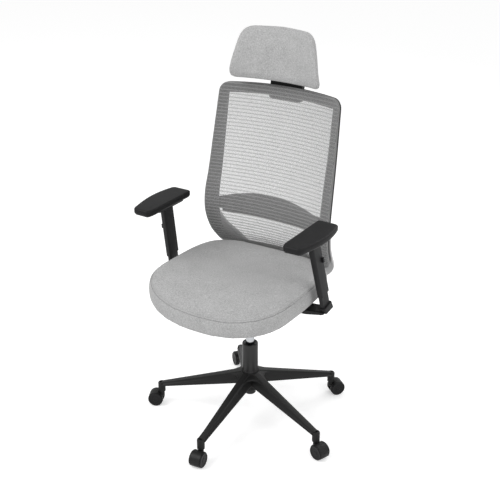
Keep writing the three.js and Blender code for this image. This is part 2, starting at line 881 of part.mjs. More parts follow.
// The gripped knob under the housing, its bolt, and the nut plate on top of the spring.
function tensionKnob() {
  const top = housingBottom - 6 - runGap;
  const shape = new THREE.Shape();
  const steps = knobGrips * 3;
  for (let i = 0; i < steps; i++) {
    const turn = (2 * Math.PI * i) / steps;
    const r = knobRadius - 1.6 * (1 + Math.cos(knobGrips * turn));
    if (i === 0) shape.moveTo(r * Math.cos(turn), r * Math.sin(turn));
    else shape.lineTo(r * Math.cos(turn), r * Math.sin(turn));
  }
  const grip = solid(slab(shape, top - knobHeight, top, 1.5));
  const springTop = springFloor + springHeight + 2 * springWire + 2 * seatGap;
  const bolt = solid(bar(boltRadius, top - 2, springTop + 6, 12));
  const plate = solid(bar(springRadius + springWire, springTop, springTop + 3, 18));
  return join(grip, bolt, plate).translate(0, springCentre, 0);
}

// A lever: a steel rod out of the housing's side, and a flat paddle on its end.
function lever(y) {
  const root = cylinderRadius + 24;
  const rod = bar(leverRodRadius, root, leverReach - leverPaddle.length / 2, 12)
    .rotateY(-Math.PI / 2)
    .translate(0, y, leverHeight);
  const { length, width, thickness, offset } = leverPaddle;
  const outline = roundedOutline(rectangle(length, width), 10);
  const paddle = slab(outline, -thickness / 2, thickness / 2, 2);
  paddle.translate(-leverReach + length / 2, y - offset, leverHeight);
  return join(solid(rod), solid(paddle));
}

function mechanism() {
  const group = new THREE.Group();
  const pinLength = 2 * earOffset + earThickness + 4;
  group.add(part("mechanism_housing", mechanismHousing(), blackSteel));
  group.add(part("tilt_spring", tiltSpring(), springSteel));
  group.add(part("tension_knob", tensionKnob(), nylon));
  group.add(part("seat_pivot_pin", solid(barAlongX(pivotPinRadius, pinLength, seatPivot)), chrome));
  group.add(part("back_pivot_pin", solid(barAlongX(pivotPinRadius, pinLength, backPivot)), chrome));
  group.add(part("lift_lever", lever(liftLeverY), blackSteel));
  group.add(part("tilt_lock_lever", lever(lockLeverY), blackSteel));
  return group;
}

// ---------------------------------------------------------------- arms

const postAxis = new THREE.Vector3(postTopLean, postForeLean, 1).normalize();

// A frame whose +Z runs up the post of one arm, standing on the joint above the knuckle.
function postFrame(side) {
  const up = new THREE.Vector3(side * postAxis.x, postAxis.y, postAxis.z);
  const ahead = new THREE.Vector3(0, 1, 0);
  const across = new THREE.Vector3().crossVectors(ahead, up).normalize();
  const depth = new THREE.Vector3().crossVectors(up, across);
  const frame = new THREE.Matrix4().makeBasis(across, depth, up);
  return frame.setPosition(side * postFoot.x, postFoot.y, postFoot.z);
}

const uprightThickness = sleeveThickness - 2 * (sleeveWall + seatGap);
const uprightDepth = sleeveDepth - 2 * (sleeveWall + seatGap);
const carrierTop = padTop - padThickness - seatGap;
const sleeveTop = (carrierTop - carrierThickness / 2 - postFoot.z) / postAxis.z;
const sleeveCap = 6; // thickness of the sleeve's closed top
const uprightLength = sleeveTop - sleeveCap - armDown - 6;
const buttonShift = sleeveDepth / 2 - buttonSize.width / 2 - 5;
const grooveDepth = 3.5;
const grooveFoot = buttonAlong - armDown - buttonSize.height;

function armUpright(side) {
  const outline = roundedOutline(rectangle(uprightThickness, uprightDepth), 4);
  const blade = slab(outline, seatGap, uprightLength);
  const groove = new THREE.BoxGeometry(2 * grooveDepth, buttonSize.width + 2, 2 * uprightLength);
  groove.translate(
    (side * uprightThickness) / 2,
    side * buttonShift,
    uprightLength + grooveFoot,
  );
  return cut(solid(blade), solid(groove)).transform(postFrame(side).toArray());
}

function armSleeve(side) {
  const outer = roundedOutline(rectangle(sleeveThickness, sleeveDepth), 6);
  const inner = roundedOutline(
    rectangle(sleeveThickness - 2 * sleeveWall, sleeveDepth - 2 * sleeveWall),
    4,
  );
  const window = new THREE.BoxGeometry(
    3 * sleeveWall,
    buttonSize.width + 2 * seatGap,
    buttonSize.height + 2 * seatGap,
  );
  window.translate((side * sleeveThickness) / 2, side * buttonShift, buttonAlong);
  const body = cut(
    solid(slab(outer, sleeveFoot, sleeveTop)),
    solid(slab(inner, sleeveFoot - 1, sleeveTop - sleeveCap)),
    solid(window),
  )
    .transform(postFrame(side).toArray())
    .trimByPlane([0, 0, -1], 1 - carrierTop);
  const width = padOuter - padInner - 32;
  const plate = slab(
    roundedOutline(rectangle(width, carrierLength), 12),
    carrierTop - carrierThickness,
    carrierTop,
    1,
  );
  const top = postFrame(side).elements;
  const [x, y] = [postFoot.x + side * top[8] * sleeveTop, postFoot.y + top[9] * sleeveTop];
  return join(body, solid(plate.translate(side * x, y, 0)));
}

// The pad: straight on the inner side, bulged on the outer, with a slanted front end.
function armPad(side) {
  const outline = new THREE.Shape();
  const at = (fromInner, y) => [side * (padInner + fromInner), y];
  const bulge = padOuter - padInner;
  outline.moveTo(...at(0, padFront + 36));
  outline.quadraticCurveTo(...at(0, padFront + 4), ...at(12, padFront));
  outline.lineTo(...at(bulge - 24, padFront + 12));
  outline.quadraticCurveTo(...at(bulge - 14, padFront + 15), ...at(bulge - 11, padFront + 32));
  outline.bezierCurveTo(
    ...at(bulge + 3, padFront + 96),
    ...at(bulge + 3, padRear - 70),
    ...at(bulge - 13, padRear - 20),
  );
  outline.quadraticCurveTo(...at(bulge - 17, padRear - 3), ...at(bulge - 32, padRear));
  outline.lineTo(...at(12, padRear));
  outline.quadraticCurveTo(...at(0, padRear), ...at(0, padRear - 12));
  return solid(slab(outline, padTop - padThickness, padTop, 4, 6));
}

function releaseButton(side) {
  const stem = sleeveWall + seatGap + grooveDepth - buttonTravel - 0.8;
  const length = stem + buttonSize.out;
  const body = new THREE.BoxGeometry(length, buttonSize.width, buttonSize.height);
  const reach = sleeveThickness / 2 - stem + length / 2;
  body.translate(side * reach, side * buttonShift, buttonAlong);
  return solid(body).transform(postFrame(side).toArray());
}

// The bracket: a flat arm under the pan that turns up into the knuckle below the post.
function armBracket(side) {
  const low = bracketTop - bracketThickness;
  const knuckle = roundedOutline(rectangle(sleeveThickness + 6, sleeveDepth + 4), 7);
  const block = solid(slab(knuckle, -knuckleDrop, -0.01, 0, 3)).transform(
    postFrame(side).toArray(),
  );
  const end = postFoot.x + 10;
  const outline = roundedOutline(
    [
      [bracketInner, low + 2],
      [end - 60, low - 5],
      [end - 12, low - 5],
      [end, low + 6],
      [end, bracketTop],
      [bracketInner, bracketTop],
    ],
    4,
  );
  const arm = solid(frontProfile(outline, bracketWidth, 1.2).translate(0, postFoot.y, 0));
  const reach = bracketInner + bossWidth / 2;
  const slots = [-1, 1].map((row) => {
    const slot = slab(roundedOutline(rectangle(28, 8), 4), 0, 2 * bracketTop, 0, 3);
    return solid(slot.translate(reach, postFoot.y + (row * bracketWidth) / 4, 0));
  });
  const blade = cut(arm, ...slots);
  return join(side > 0 ? blade : blade.mirror([1, 0, 0]), block);
}

function arms() {
  const group = new THREE.Group();
  [["left", 1], ["right", -1]].forEach(([hand, side]) => {
    group.add(part(`arm_bracket_${hand}`, armBracket(side), nylon));
    group.add(part(`arm_upright_${hand}`, armUpright(side), nylon));
    group.add(part(`arm_sleeve_${hand}`, armSleeve(side), nylon));
    group.add(part(`arm_button_${hand}`, releaseButton(side), softBlack));
    group.add(part(`arm_pad_${hand}`, armPad(side), softBlack));
  });
  return group;
}

// ---------------------------------------------------------------- back

// Smooth interpolation of one column of the back's profile at a height.
function profileAt(height, key) {
  const rows = backProfile;
  let i = rows.findIndex((row) => row.z > height) - 1;
  if (i < 0) i = height < rows[0].z ? 0 : rows.length - 2;
  const slope = (a, b) => (rows[b][key] - rows[a][key]) / (rows[b].z - rows[a].z);
  const [p, q] = [rows[i], rows[i + 1]];
  const [before, after] = [Math.max(i - 1, 0), Math.min(i + 2, rows.length - 1)];
  const span = q.z - p.z;
  const t = (height - p.z) / span;
  const [m0, m1] = [slope(before, i + 1) * span, slope(i, after) * span];
  return (
    (2 * t ** 3 - 3 * t ** 2 + 1) * p[key] +
    (t ** 3 - 2 * t ** 2 + t) * m0 +
    (3 * t ** 2 - 2 * t ** 3) * q[key] +
    (t ** 3 - t ** 2) * m1
  );
}

// A place on the back's curved surface, moved rearwards off it by a depth. The surface is
// hollow from side to side, but below the frame it flattens out.
function backPoint(x, z, depth) {
  const half = profileAt(z, "w");
  const hollow = THREE.MathUtils.smoothstep(z, yokeBottom, frameBottom);
  const y = profileAt(z, "y") + backSag * hollow * (1 - (x / half) ** 2);
  const rise = 2;
  const slope = (profileAt(z + rise, "y") - profileAt(z - rise, "y")) / (2 * rise);
  const lean = Math.hypot(1, slope);
  return new THREE.Vector3(x, y + depth / lean, z - (depth * slope) / lean);
}

// Heights from one level to another, with every common level of the back in between.
function levelsBetween(low, high) {
  const levels = [low];
  for (let z = Math.ceil((low + 4) / levelPitch) * levelPitch; z < high - 4; z += levelPitch) {
    levels.push(z);
  }
  return [...levels, high];
}

// The frame's right half from the bottom edge's end, round both corners, to the top edge's end.
const frameSide = (() => {
  const side = [];
  const quarter = (i) => ((Math.PI / 2) * i) / 4;
  for (let i = 0; i < 4; i++) {
    const z = frameBottom + frameFootRadius * (1 - Math.cos(quarter(i)));
    side.push([profileAt(z, "w") - frameFootRadius * (1 - Math.sin(quarter(i))), z]);
  }
  const cornerZ = frameCorner - frameTopRadius;
  levelsBetween(frameBottom + frameFootRadius, cornerZ).forEach((z) => {
    side.push([profileAt(z, "w"), z]);
  });
  for (let i = 1; i <= 4; i++) {
    const x = profileAt(cornerZ, "w") - frameTopRadius * (1 - Math.cos(quarter(i)));
    side.push([x, lerp(cornerZ, archAt(x), Math.sin(quarter(i)))]);
  }
  return side;
})();

// Height of the arched top edge.
function archAt(x) {
  return frameCorner + frameArch * (1 - (x / profileAt(frameCorner, "w")) ** 2);
}

// The outline all the way round: bottom edge, right side, top edge, left side.
const edgeShares = [0.75, 0.5, 0.25, 0, -0.25, -0.5, -0.75];
const outlineOfFrame = (() => {
  const [footEnd] = frameSide[0];
  const [topEnd] = frameSide[frameSide.length - 1];
  return [
    ...edgeShares.map((share) => [-share * footEnd, frameBottom]),
    ...frameSide,
    ...edgeShares.map((share) => [share * topEnd, archAt(share * topEnd)]),
    ...frameSide.map(([x, z]) => [-x, z]).reverse(),
  ];
})();

// The same outline drawn in by a distance, square to itself.
function drawnIn(places, distance) {
  const count = places.length;
  return places.map(([x, z], i) => {
    const [ax, az] = places[(i - 1 + count) % count];
    const [bx, bz] = places[(i + 1) % count];
    const length = Math.hypot(bx - ax, bz - az);
    return [x - (distance * (bz - az)) / length, z + (distance * (bx - ax)) / length];
  });
}

const innerOfFrame = drawnIn(outlineOfFrame, frameBand);

function backFrame() {
  const rim = -frameEdge / frameBand;
  const profile = [
    [1, 0],
    [0.5, 0],
    [0, 0],
    [0, frameDepth * 0.4],
    [rim, frameDepth * 0.45],
    [rim, frameDepth * 0.72],
    [0.1, frameDepth],
    [0.75, frameDepth],
    [0.93, frameDepth * 0.8],
  ];
  const rings = profile.map(([share, depth]) =>
    outlineOfFrame.map(([x, z], i) => {
      const [inX, inZ] = innerOfFrame[i];
      return backPoint(lerp(x, inX, share), lerp(z, inZ, share), depth);
    }),
  );
  return solid(skin(rings, true));
}

// The cloth stretched over the frame's front and round its outer side, as a thin sheet.
function backMesh() {
  const [near, far] = [-skinGap, -skinGap - meshThickness];
  const shares = [-1, ...edgeShares.toReversed(), 1];
  const lay = (depth) => {
    const rows = frameSide.map(([x, z], i) =>
      shares.map((share) => {
        const top = i === frameSide.length - 1;
        return backPoint(share * x, top ? archAt(share * x) : z, depth);
      }),
    );
    return rows.slice(1).flatMap((row, i) => strip(rows[i], row));
  };
  const over = (outwards, depth) => {
    const loop = outwards > 0 ? drawnIn(outlineOfFrame, -outwards) : outlineOfFrame;
    const ring = loop.map(([x, z]) => backPoint(x, z, depth));
    return [...ring, ring[0]];
  };
  const outer = seatGap + meshThickness;
  const hem = frameDepth * 0.38;
  const border = [
    over(0, near),
    over(seatGap, near),
    over(seatGap, hem),
    over(outer, hem),
    over(outer, far + 1),
    over(0, far),
  ];
  const points = [
    ...lay(near).reverse(),
    ...border.slice(1).flatMap((ring, i) => strip(border[i], ring)),
    ...lay(far),
  ];
  return solid(new THREE.BufferGeometry().setFromPoints(points));
}

// Triangles between two rows of as many points.
function strip(low, high) {
  const points = [];
  for (let i = 1; i < low.length; i++) {
    points.push(low[i - 1], low[i], high[i], low[i - 1], high[i], high[i - 1]);
  }
  return points;
}

// The crescent behind the mesh, tall in the middle and low at both ends, where a tab steps
// back and lies behind the frame.
function lumbarPad() {
  const end = lumbarHalfWidth + lumbarTab;
  const behind = frameDepth + skinGap - lumbarClear;
  const half = [
    [end, behind, 0.8],
    [lumbarHalfWidth + 4, behind, 0.9],
    [lumbarHalfWidth - 9, 3, 0.97],
    [lumbarHalfWidth - 20, 0, 1],
    ...[0.7, 0.47, 0.24].map((share) => [lumbarHalfWidth * share, 0, 1]),
  ];
  const stations = [
    ...half.map(([x, back, share]) => [-x, back, share]),
    [0, 0, 1],
    ...half.map(([x, back, share]) => [x, back, share]).reverse(),
  ];
  return solid(
    skin(
      stations.map(([x, back, share]) => {
        const swell = Math.max(1 - (x / lumbarHalfWidth) ** 2, 0);
        const height = lerp(lumbarEndHeight, lumbarMiddleHeight, swell) * share;
        const foot = lumbarFoot + (lumbarEndHeight * (1 - share)) / 2;
        const near = lumbarClear + back;
        const far = near + lumbarThickness * (back === behind ? 0.6 : 1);
        return [
          backPoint(x, foot, near + 1.5),
          backPoint(x, foot + height / 2, near),
          backPoint(x, foot + height, near + 1.5),
          backPoint(x, foot + height, far),
          backPoint(x, foot + height / 2, far),
          backPoint(x, foot, far),
        ];
      }),
    ),
  );
}

// The grey U that carries the frame: two arms behind its lower sides, joined under the mesh.
function backYoke() {
  const near = frameDepth + yokeGap;
  const half = [];
  const bends = 12;
  const shoulder = profileAt(yokeShoulder, "w");
  for (let i = 0; i <= bends; i++) {
    const turn = ((Math.PI / 2) * i) / bends;
    const x = shoulder * Math.sin(turn) ** 0.72;
    const z = lerp(yokeShoulder, yokeBottom, Math.cos(turn) ** 0.72);
    half.push({ x: Math.min(x, profileAt(z, "w")), z, band: yokeBand });
  }
  levelsBetween(yokeShoulder, yokeTop).slice(1).forEach((z) => {
    const share = (z - yokeShoulder) / (yokeTop - yokeShoulder);
    half.push({ x: profileAt(z, "w"), z, band: lerp(yokeBand, yokeTipBand, share) });
  });
  const mirrored = half.slice(1).map(({ x, z, band }) => ({ x: -x, z, band }));
  const path = [...mirrored.reverse(), ...half];
  const rings = path.map(({ x, z, band }, i) => {
    const [a, b] = [path[Math.max(i - 1, 0)], path[Math.min(i + 1, path.length - 1)]];
    const length = Math.hypot(b.x - a.x, b.z - a.z);
    const [inX, inZ] = [(-band * (b.z - a.z)) / length, (band * (b.x - a.x)) / length];
    const at = (share, depth) => backPoint(x + inX * share, z + inZ * share, depth);
    return [
      at(0.03, near),
      at(0.5, near),
      at(1, near),
      at(1, near + yokeDepth * 0.65),
      at(0.85, near + yokeDepth),
      at(0.15, near + yokeDepth),
      at(0, near + yokeDepth * 0.6),
    ];
  });
  const rim = roundedOutline(rectangle(yokeSeatWidth, yokeBand - 2), 5);
  const flat = frontProfile(rim, 22, 0).translate(0, barEnd + 11, yokeBottom + yokeBand / 2);
  return join(solid(skin(rings)), solid(flat));
}

// The steel fork: two plates on the rear pivot pin, and the bar that carries the yoke.
function backBar() {
  const width = 2 * earOffset + earThickness;
  const foot = backPivot.z - earRadius;
  const top = backPivot.z + earRadius;
  const head = yokeBottom + yokeBand - 3;
  const rear = barEnd - seatGap;
  const outline = new THREE.Shape();
  outline.moveTo(backPivot.y, foot);
  outline.lineTo(rear - 16, foot);
  outline.quadraticCurveTo(rear, foot, rear, foot + 16);
  outline.lineTo(rear, head);
  outline.lineTo(rear - 9, head);
  outline.quadraticCurveTo(rear - 12, top, rear - 34, top);
  outline.lineTo(backPivot.y, top);
  outline.absarc(backPivot.y, backPivot.z, earRadius, Math.PI / 2, (3 * Math.PI) / 2, false);
  const body = solid(sideProfile(outline, width, 0, 6));
  const clearance = 2 * (housingWidth / 2 + runGap);
  const reach = 2 * housingWidth;
  const gap = new THREE.BoxGeometry(clearance, reach, reach);
  gap.translate(0, housingRear + 8 - reach / 2, backPivot.z);
  const waist = [-1, 1].map((side) => {
    const scoop = new THREE.CylinderGeometry(40, 40, 3 * barHeight, 20);
    scoop.rotateX(Math.PI / 2).translate(side * (width / 2 + 20), rear - 40, backPivot.z + 40);
    return solid(scoop);
  });
  const hole = solid(barAlongX(pivotPinRadius + seatGap, 2 * width, backPivot));
  return cut(body, solid(gap), hole, ...waist);
}

// ---------------------------------------------------------------- headrest

function headPoint(x, z, depth) {
  const y = headFrontY + headLean * (z - headBottom) + headWrap * (1 - (x / headBottomHalf) ** 2);
  return new THREE.Vector3(x, y + depth, z - depth * headLean);
}

// The headrest's outline in x and z, with small corners below and large ones above.
function headOutline(inset) {
  const shape = new THREE.Shape();
  const [foot, top] = [headBottomHalf - inset, headTopHalf - inset];
  const [low, high] = [headBottom + inset, headTop - inset];
  const waist = (foot + top) / 2 - 4;
  shape.moveTo(0, low);
  [0.33, 0.66, 1].forEach((share) => shape.lineTo((foot - 18) * share, low));
  shape.quadraticCurveTo(foot + 1, low, foot - 1, low + 20);
  shape.quadraticCurveTo(waist + 10, lerp(low, high, 0.45), top + 4, high - 42);
  shape.bezierCurveTo(top - 4, high - 12, top - 18, high, top - 46, high);
  [0.5, 0].forEach((share) => shape.lineTo((top - 46) * share, high + 2 - 2 * share));
  const half = shape.getPoints(3);
  const mirrored = half.slice(1, -1).map((p) => new THREE.Vector2(-p.x, p.y)).reverse();
  return [...half, ...mirrored];
}

// A padded shape between front and rear depths, built as rings from the middle outwards.
function headBody(inset, front, rear, round) {
  const middle = new THREE.Vector2(0, (headBottom + headTop) / 2);
  const ring = (extra, share, depth) =>
    headOutline(inset + extra).map((p) => {
      const q = middle.clone().lerp(p, share);
      return headPoint(q.x, q.y, depth);
    });
  return solid(
    skin([
      ring(round, 0.35, front),
      ring(round, 0.7, front),
      ring(round, 1, front + round * 0.12),
      ring(0, 1, front + round * 0.8),
      ring(0, 1, rear - round * 0.5),
      ring(round * 0.6, 1, rear),
      ring(round * 0.6, 0.7, rear),
      ring(round * 0.6, 0.35, rear),
    ]),
  );
}

const shellFront = headThickness + 2 * skinGap + seatGap;
const shellRear = shellFront + headShell;
const hingeReach = headPinRadius + 5;
const headPivot = {
  y: headPoint(0, headPivotHeight, shellRear).y + hingeReach + 2,
  z: headPivotHeight,
};

function headrestShell() {
  const shell = headBody(9, shellFront, shellRear, 2);
  const lug = new THREE.Shape();
  lug.moveTo(headPivot.y - hingeReach - 8, headPivot.z - hingeReach - 5);
  lug.lineTo(headPivot.y, headPivot.z - hingeReach);
  lug.absarc(headPivot.y, headPivot.z, hingeReach, -Math.PI / 2, Math.PI / 2, false);
  lug.lineTo(headPivot.y - hingeReach - 8, headPivot.z + hingeReach + 5);
  const reach = (headArmWidth + headLugThickness) / 2 + runGap;
  const lugs = [-1, 1].map((side) =>
    solid(sideProfile(lug, headLugThickness, 0, 8).translate(side * reach, 0, 0)),
  );
  const front = headBody(9, 0, shellFront + 1, 2);
  const hole = solid(barAlongX(headPinRadius + seatGap, 4 * headArmWidth, headPivot));
  return cut(join(shell, ...lugs.map((body) => cut(body, front))), hole);
}

const mountNear = frameDepth + seatGap;
const armLean = (profileAt(mountTop, "y") - profileAt(mountFoot, "y")) / (mountTop - mountFoot);

// A frame in the middle of the sliding arm's guide, with +Z up along it.
function armFrame() {
  const depth = mountNear + mountThickness - 1;
  const middle = backPoint(0, (mountFoot + mountTop) / 2, depth);
  return new THREE.Matrix4().makeRotationX(-Math.atan(armLean)).setPosition(middle);
}

// The bracket screwed behind the frame's top bar, with a guide for the sliding arm.
function headrestMount() {
  const rings = [];
  const steps = 8;
  const [near, far] = [mountNear, mountNear + mountThickness + headArmThickness];
  for (let i = 0; i <= steps; i++) {
    const x = lerp(-mountWidth / 2, mountWidth / 2, i / steps);
    const chamfer = i === 0 || i === steps ? 6 : 0;
    rings.push([
      backPoint(x, mountFoot + chamfer, near),
      backPoint(x, mountTop - chamfer, near),
      backPoint(x, mountTop - chamfer, far),
      backPoint(x, mountFoot + chamfer, far),
    ]);
  }
  const guide = new THREE.BoxGeometry(
    headArmWidth + 2 * seatGap,
    headArmThickness + 2 * seatGap,
    4 * (mountTop - mountFoot),
  );
  return cut(solid(skin(rings)), solid(guide.applyMatrix4(armFrame())));
}

// The arm that slides in the bracket, bends forward, and ends in the headrest's hinge barrel.
function headrestArm() {
  const frame = armFrame();
  const hinge = new THREE.Vector3(0, headPivot.y, headPivot.z);
  hinge.applyMatrix4(frame.clone().invert());
  const guideHalf = (mountTop - mountFoot) / 2;
  const foot = guideHalf - headLift - headEngaged;
  const straight = guideHalf + 4;
  const bend = new THREE.QuadraticBezierCurve(
    new THREE.Vector2(0, straight),
    new THREE.Vector2(0, lerp(straight, hinge.z, 0.8)),
    new THREE.Vector2(hinge.y, hinge.z),
  );
  const [front, rear] = [[], []];
  const half = headArmThickness / 2;
  for (let i = 0; i <= 6; i++) {
    const [place, way] = [bend.getPoint(i / 6), bend.getTangent(i / 6)];
    front.push([place.x - way.y * half, place.y + way.x * half]);
    rear.push([place.x + way.y * half, place.y - way.x * half]);
  }
  const outline = new THREE.Shape();
  [[-half, foot], ...front, ...rear.reverse(), [half, foot]].forEach(([y, z], i) => {
    if (i === 0) outline.moveTo(y, z);
    else outline.lineTo(y, z);
  });
  const blade = solid(sideProfile(outline, headArmWidth)).transform(frame.toArray());
  const barrel = solid(barAlongX(hingeReach, headArmWidth, headPivot));
  const hole = solid(barAlongX(headPinRadius + seatGap, 4 * headArmWidth, headPivot));
  return cut(join(blade, barrel), hole);
}

function headrest() {
  const group = new THREE.Group();
  const pinLength = headArmWidth + 2 * (headLugThickness + runGap) + 4;
  const pin = solid(barAlongX(headPinRadius, pinLength, headPivot));
  group.add(part("headrest_mount", headrestMount(), nylon));
  group.add(part("headrest_arm", headrestArm(), nylon));
  group.add(part("headrest_pin", pin, chrome));
  group.add(part("headrest_shell", headrestShell(), nylon));
  group.add(part("headrest_cushion", headBody(0, 0, headThickness, 12), fabric));
  return group;
}

function back() {
  const group = new THREE.Group();
  group.add(part("back_frame", backFrame(), nylon));
  group.add(part("back_mesh", backMesh(), meshCloth));
  group.add(part("lumbar_pad", lumbarPad(), nylon));
  group.add(part("back_yoke", backYoke(), greyNylon));
  group.add(part("back_bar", backBar(), blackSteel));
  group.add(headrest());
  return group;
}

// ---------------------------------------------------------------- assembly

const chair = new THREE.Group();
chair.add(part("star_base", starBase(), nylon));
chair.add(casters());
chair.add(gasLift());
chair.add(mechanism());
chair.add(part("seat_plate", seatPlate(), blackSteel));
chair.add(part("seat_pan", seatPan(), nylon));
chair.add(part("seat_cushion", seatCushion(), fabric));
chair.add(arms());
chair.add(back());

// The origin lies on the floor, under the middle of the whole chair.
const extent = new THREE.Box3().setFromObject(chair);
const middle = extent.getCenter(new THREE.Vector3());
chair.position.set(-middle.x, -middle.y, -extent.min.z);
const placed = new THREE.Group();
placed.add(chair);

export default placed;
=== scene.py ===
# %% [markdown]
# # An ergonomic task chair
# The imported CAD model is the fixed frame of this scene: every hard part already has its true
# shape, size and place. This file gives the chair its looks. It starts by loading that frame.

# %% Load the frame
import json
import math

import bmesh
import bpy
from mathutils import Matrix, Vector
from mathutils.bvhtree import BVHTree
from mathutils.kdtree import KDTree

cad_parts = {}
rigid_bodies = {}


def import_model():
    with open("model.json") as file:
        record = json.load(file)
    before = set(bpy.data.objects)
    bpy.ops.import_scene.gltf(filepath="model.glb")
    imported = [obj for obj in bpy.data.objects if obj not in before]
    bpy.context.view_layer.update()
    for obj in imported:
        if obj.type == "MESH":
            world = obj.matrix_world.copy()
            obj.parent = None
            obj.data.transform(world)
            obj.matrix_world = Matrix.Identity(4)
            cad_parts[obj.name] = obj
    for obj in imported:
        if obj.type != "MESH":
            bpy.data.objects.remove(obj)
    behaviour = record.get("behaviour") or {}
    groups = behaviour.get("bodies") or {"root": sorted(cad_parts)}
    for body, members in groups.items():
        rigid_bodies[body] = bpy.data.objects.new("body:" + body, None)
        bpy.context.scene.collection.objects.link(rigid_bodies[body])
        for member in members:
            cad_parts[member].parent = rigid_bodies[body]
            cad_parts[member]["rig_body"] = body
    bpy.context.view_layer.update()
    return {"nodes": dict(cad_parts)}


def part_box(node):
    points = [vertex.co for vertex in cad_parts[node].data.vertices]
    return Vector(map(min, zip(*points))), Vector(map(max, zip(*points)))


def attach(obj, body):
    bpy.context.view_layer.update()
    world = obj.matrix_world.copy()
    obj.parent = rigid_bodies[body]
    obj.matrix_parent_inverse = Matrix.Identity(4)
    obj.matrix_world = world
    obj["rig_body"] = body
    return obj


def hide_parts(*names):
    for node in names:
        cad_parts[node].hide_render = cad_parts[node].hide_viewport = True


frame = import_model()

# %% [markdown]
# ## Places
# The designer of such a chair measures everything from the axis of the gas lift. `spot` turns
# millimetres from that axis, found from the cylinder itself, into a place in the scene.

# %% The lift's axis, and places measured from it
MM = 0.001
cylinder_low, cylinder_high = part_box("gas_cylinder")
AXIS = (cylinder_low + cylinder_high) / 2


def spot(x, y, z):
    return Vector((AXIS.x + x * MM, AXIS.y + y * MM, z * MM))


def mix(a, b, share):
    return a + (b - a) * share


def clamp(value, low=0, high=1):
    return min(max(value, low), high)


def middle(node):
    low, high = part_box(node)
    return (low + high) / 2


def settle(thing, **settings):
    for name, value in settings.items():
        setattr(thing, name, value)
    return thing


def new_piece(name, data):
    piece = bpy.data.objects.new(name, data)
    bpy.context.scene.collection.objects.link(piece)
    return piece


print("lift axis in mm:", round(AXIS.x / MM, 1), round(AXIS.y / MM, 1))

# %% [markdown]
# ## Camera
# A chair shows best from a little above eye level, in front and to one side, through a long
# lens that keeps the upright lines nearly parallel.

# %% Camera
camera_data = bpy.data.cameras.new("studio_camera")
settle(camera_data, sensor_width=36, lens=69.5, clip_end=60)
camera = new_piece("studio_camera", camera_data)
camera.location = spot(1458.1, -2331.5, 1855.3)
looking = Vector((-0.48301, 0.77205, -0.41308))
camera.rotation_euler = looking.to_track_quat("-Z", "Y").to_euler()
bpy.context.scene.camera = camera
print("camera stands", round(camera.location.length, 2), "m from the origin")

# %% [markdown]
# ## Nodes and colours
# Materials and Geometry Nodes are both trees of nodes. One small function adds any node, and
# each input gets a plain value or a link; a node alone stands for its first output.
# Colours are written the way a designer picks them, as sRGB hex, and turned to linear light.

# %% One function for nodes, one for colours
def add(tree, kind, inputs=None, **options):
    made = settle(tree.nodes.new(kind), **options)
    for key, value in (inputs or {}).items():
        if isinstance(value, bpy.types.Node):
            value = value.outputs[0]
        if isinstance(value, bpy.types.NodeSocket):
            tree.links.new(value, made.inputs[key])
        else:
            made.inputs[key].default_value = value
    return made


def colour(hex_value):
    channels = [(hex_value >> shift & 255) / 255 for shift in (16, 8, 0)]
    linear = [c / 12.92 if c <= 0.04045 else ((c + 0.055) / 1.055) ** 2.4 for c in channels]
    return (*linear, 1.0)


def new_material(name, preview):
    material = bpy.data.materials.new(name)
    material.use_nodes = True
    tree = material.node_tree
    tree.nodes.clear()
    material.diffuse_color = colour(preview)
    return material, tree, add(tree, "ShaderNodeTexCoord").outputs["Object"]


def maths(tree, operation, *values):
    return add(tree, "ShaderNodeMath", dict(enumerate(values)), operation=operation)


def noise(tree, place, size, detail, **more):
    inputs = {"Vector": place, "Scale": 1 / size, "Detail": detail, **more}
    return add(tree, "ShaderNodeTexNoise", inputs)


def remap(tree, value, **ends):
    """Ends are named as on the node, such as To_Min."""
    inputs = {"Value": value, **{key.replace("_", " "): end for key, end in ends.items()}}
    return add(tree, "ShaderNodeMapRange", inputs)


def tinted(tree, share, low, high):
    inputs = {0: share, 6: colour(low), 7: colour(high)}
    return add(tree, "ShaderNodeMix", inputs, data_type="RGBA").outputs[2]


def bumped(tree, height, strength, depth_mm):
    inputs = {"Height": height, "Strength": strength, "Distance": depth_mm * MM}
    return add(tree, "ShaderNodeBump", inputs)


def close_material(material, inputs):
    tree = material.node_tree
    shader = add(tree, "ShaderNodeBsdfPrincipled", inputs)
    add(tree, "ShaderNodeOutputMaterial", {"Surface": shader})
    return material


# %% [markdown]
# ## Glass-filled nylon
# The base, the hoods, the arm posts and the frame are moulded in black nylon with glass
# fibres. The mould is spark-eroded, so the skin has a fine pebble of about 0.4 mm, drawn here at
# 0.9 mm so that it can be seen, and a slightly uneven gloss where the material flowed.

# %% Moulded plastics
def moulded_plastic(name, low, high, roughness, grain_mm, grain_depth, gloss=0.5):
    material, tree, place = new_material(name, low)
    flow = noise(tree, place, 0.06, 3.0)
    cells = {"Vector": place, "Scale": 1 / (grain_mm * MM), "Randomness": 1.0}
    grain = add(tree, "ShaderNodeTexVoronoi", cells)
    surface = {
        "Base Color": tinted(tree, flow, low, high),
        "Roughness": remap(tree, flow, To_Min=roughness - 0.05, To_Max=roughness + 0.07),
        "Normal": bumped(tree, grain, 0.35, grain_depth),
        "Specular IOR Level": gloss,
        "IOR": 1.53,
    }
    return close_material(material, surface)


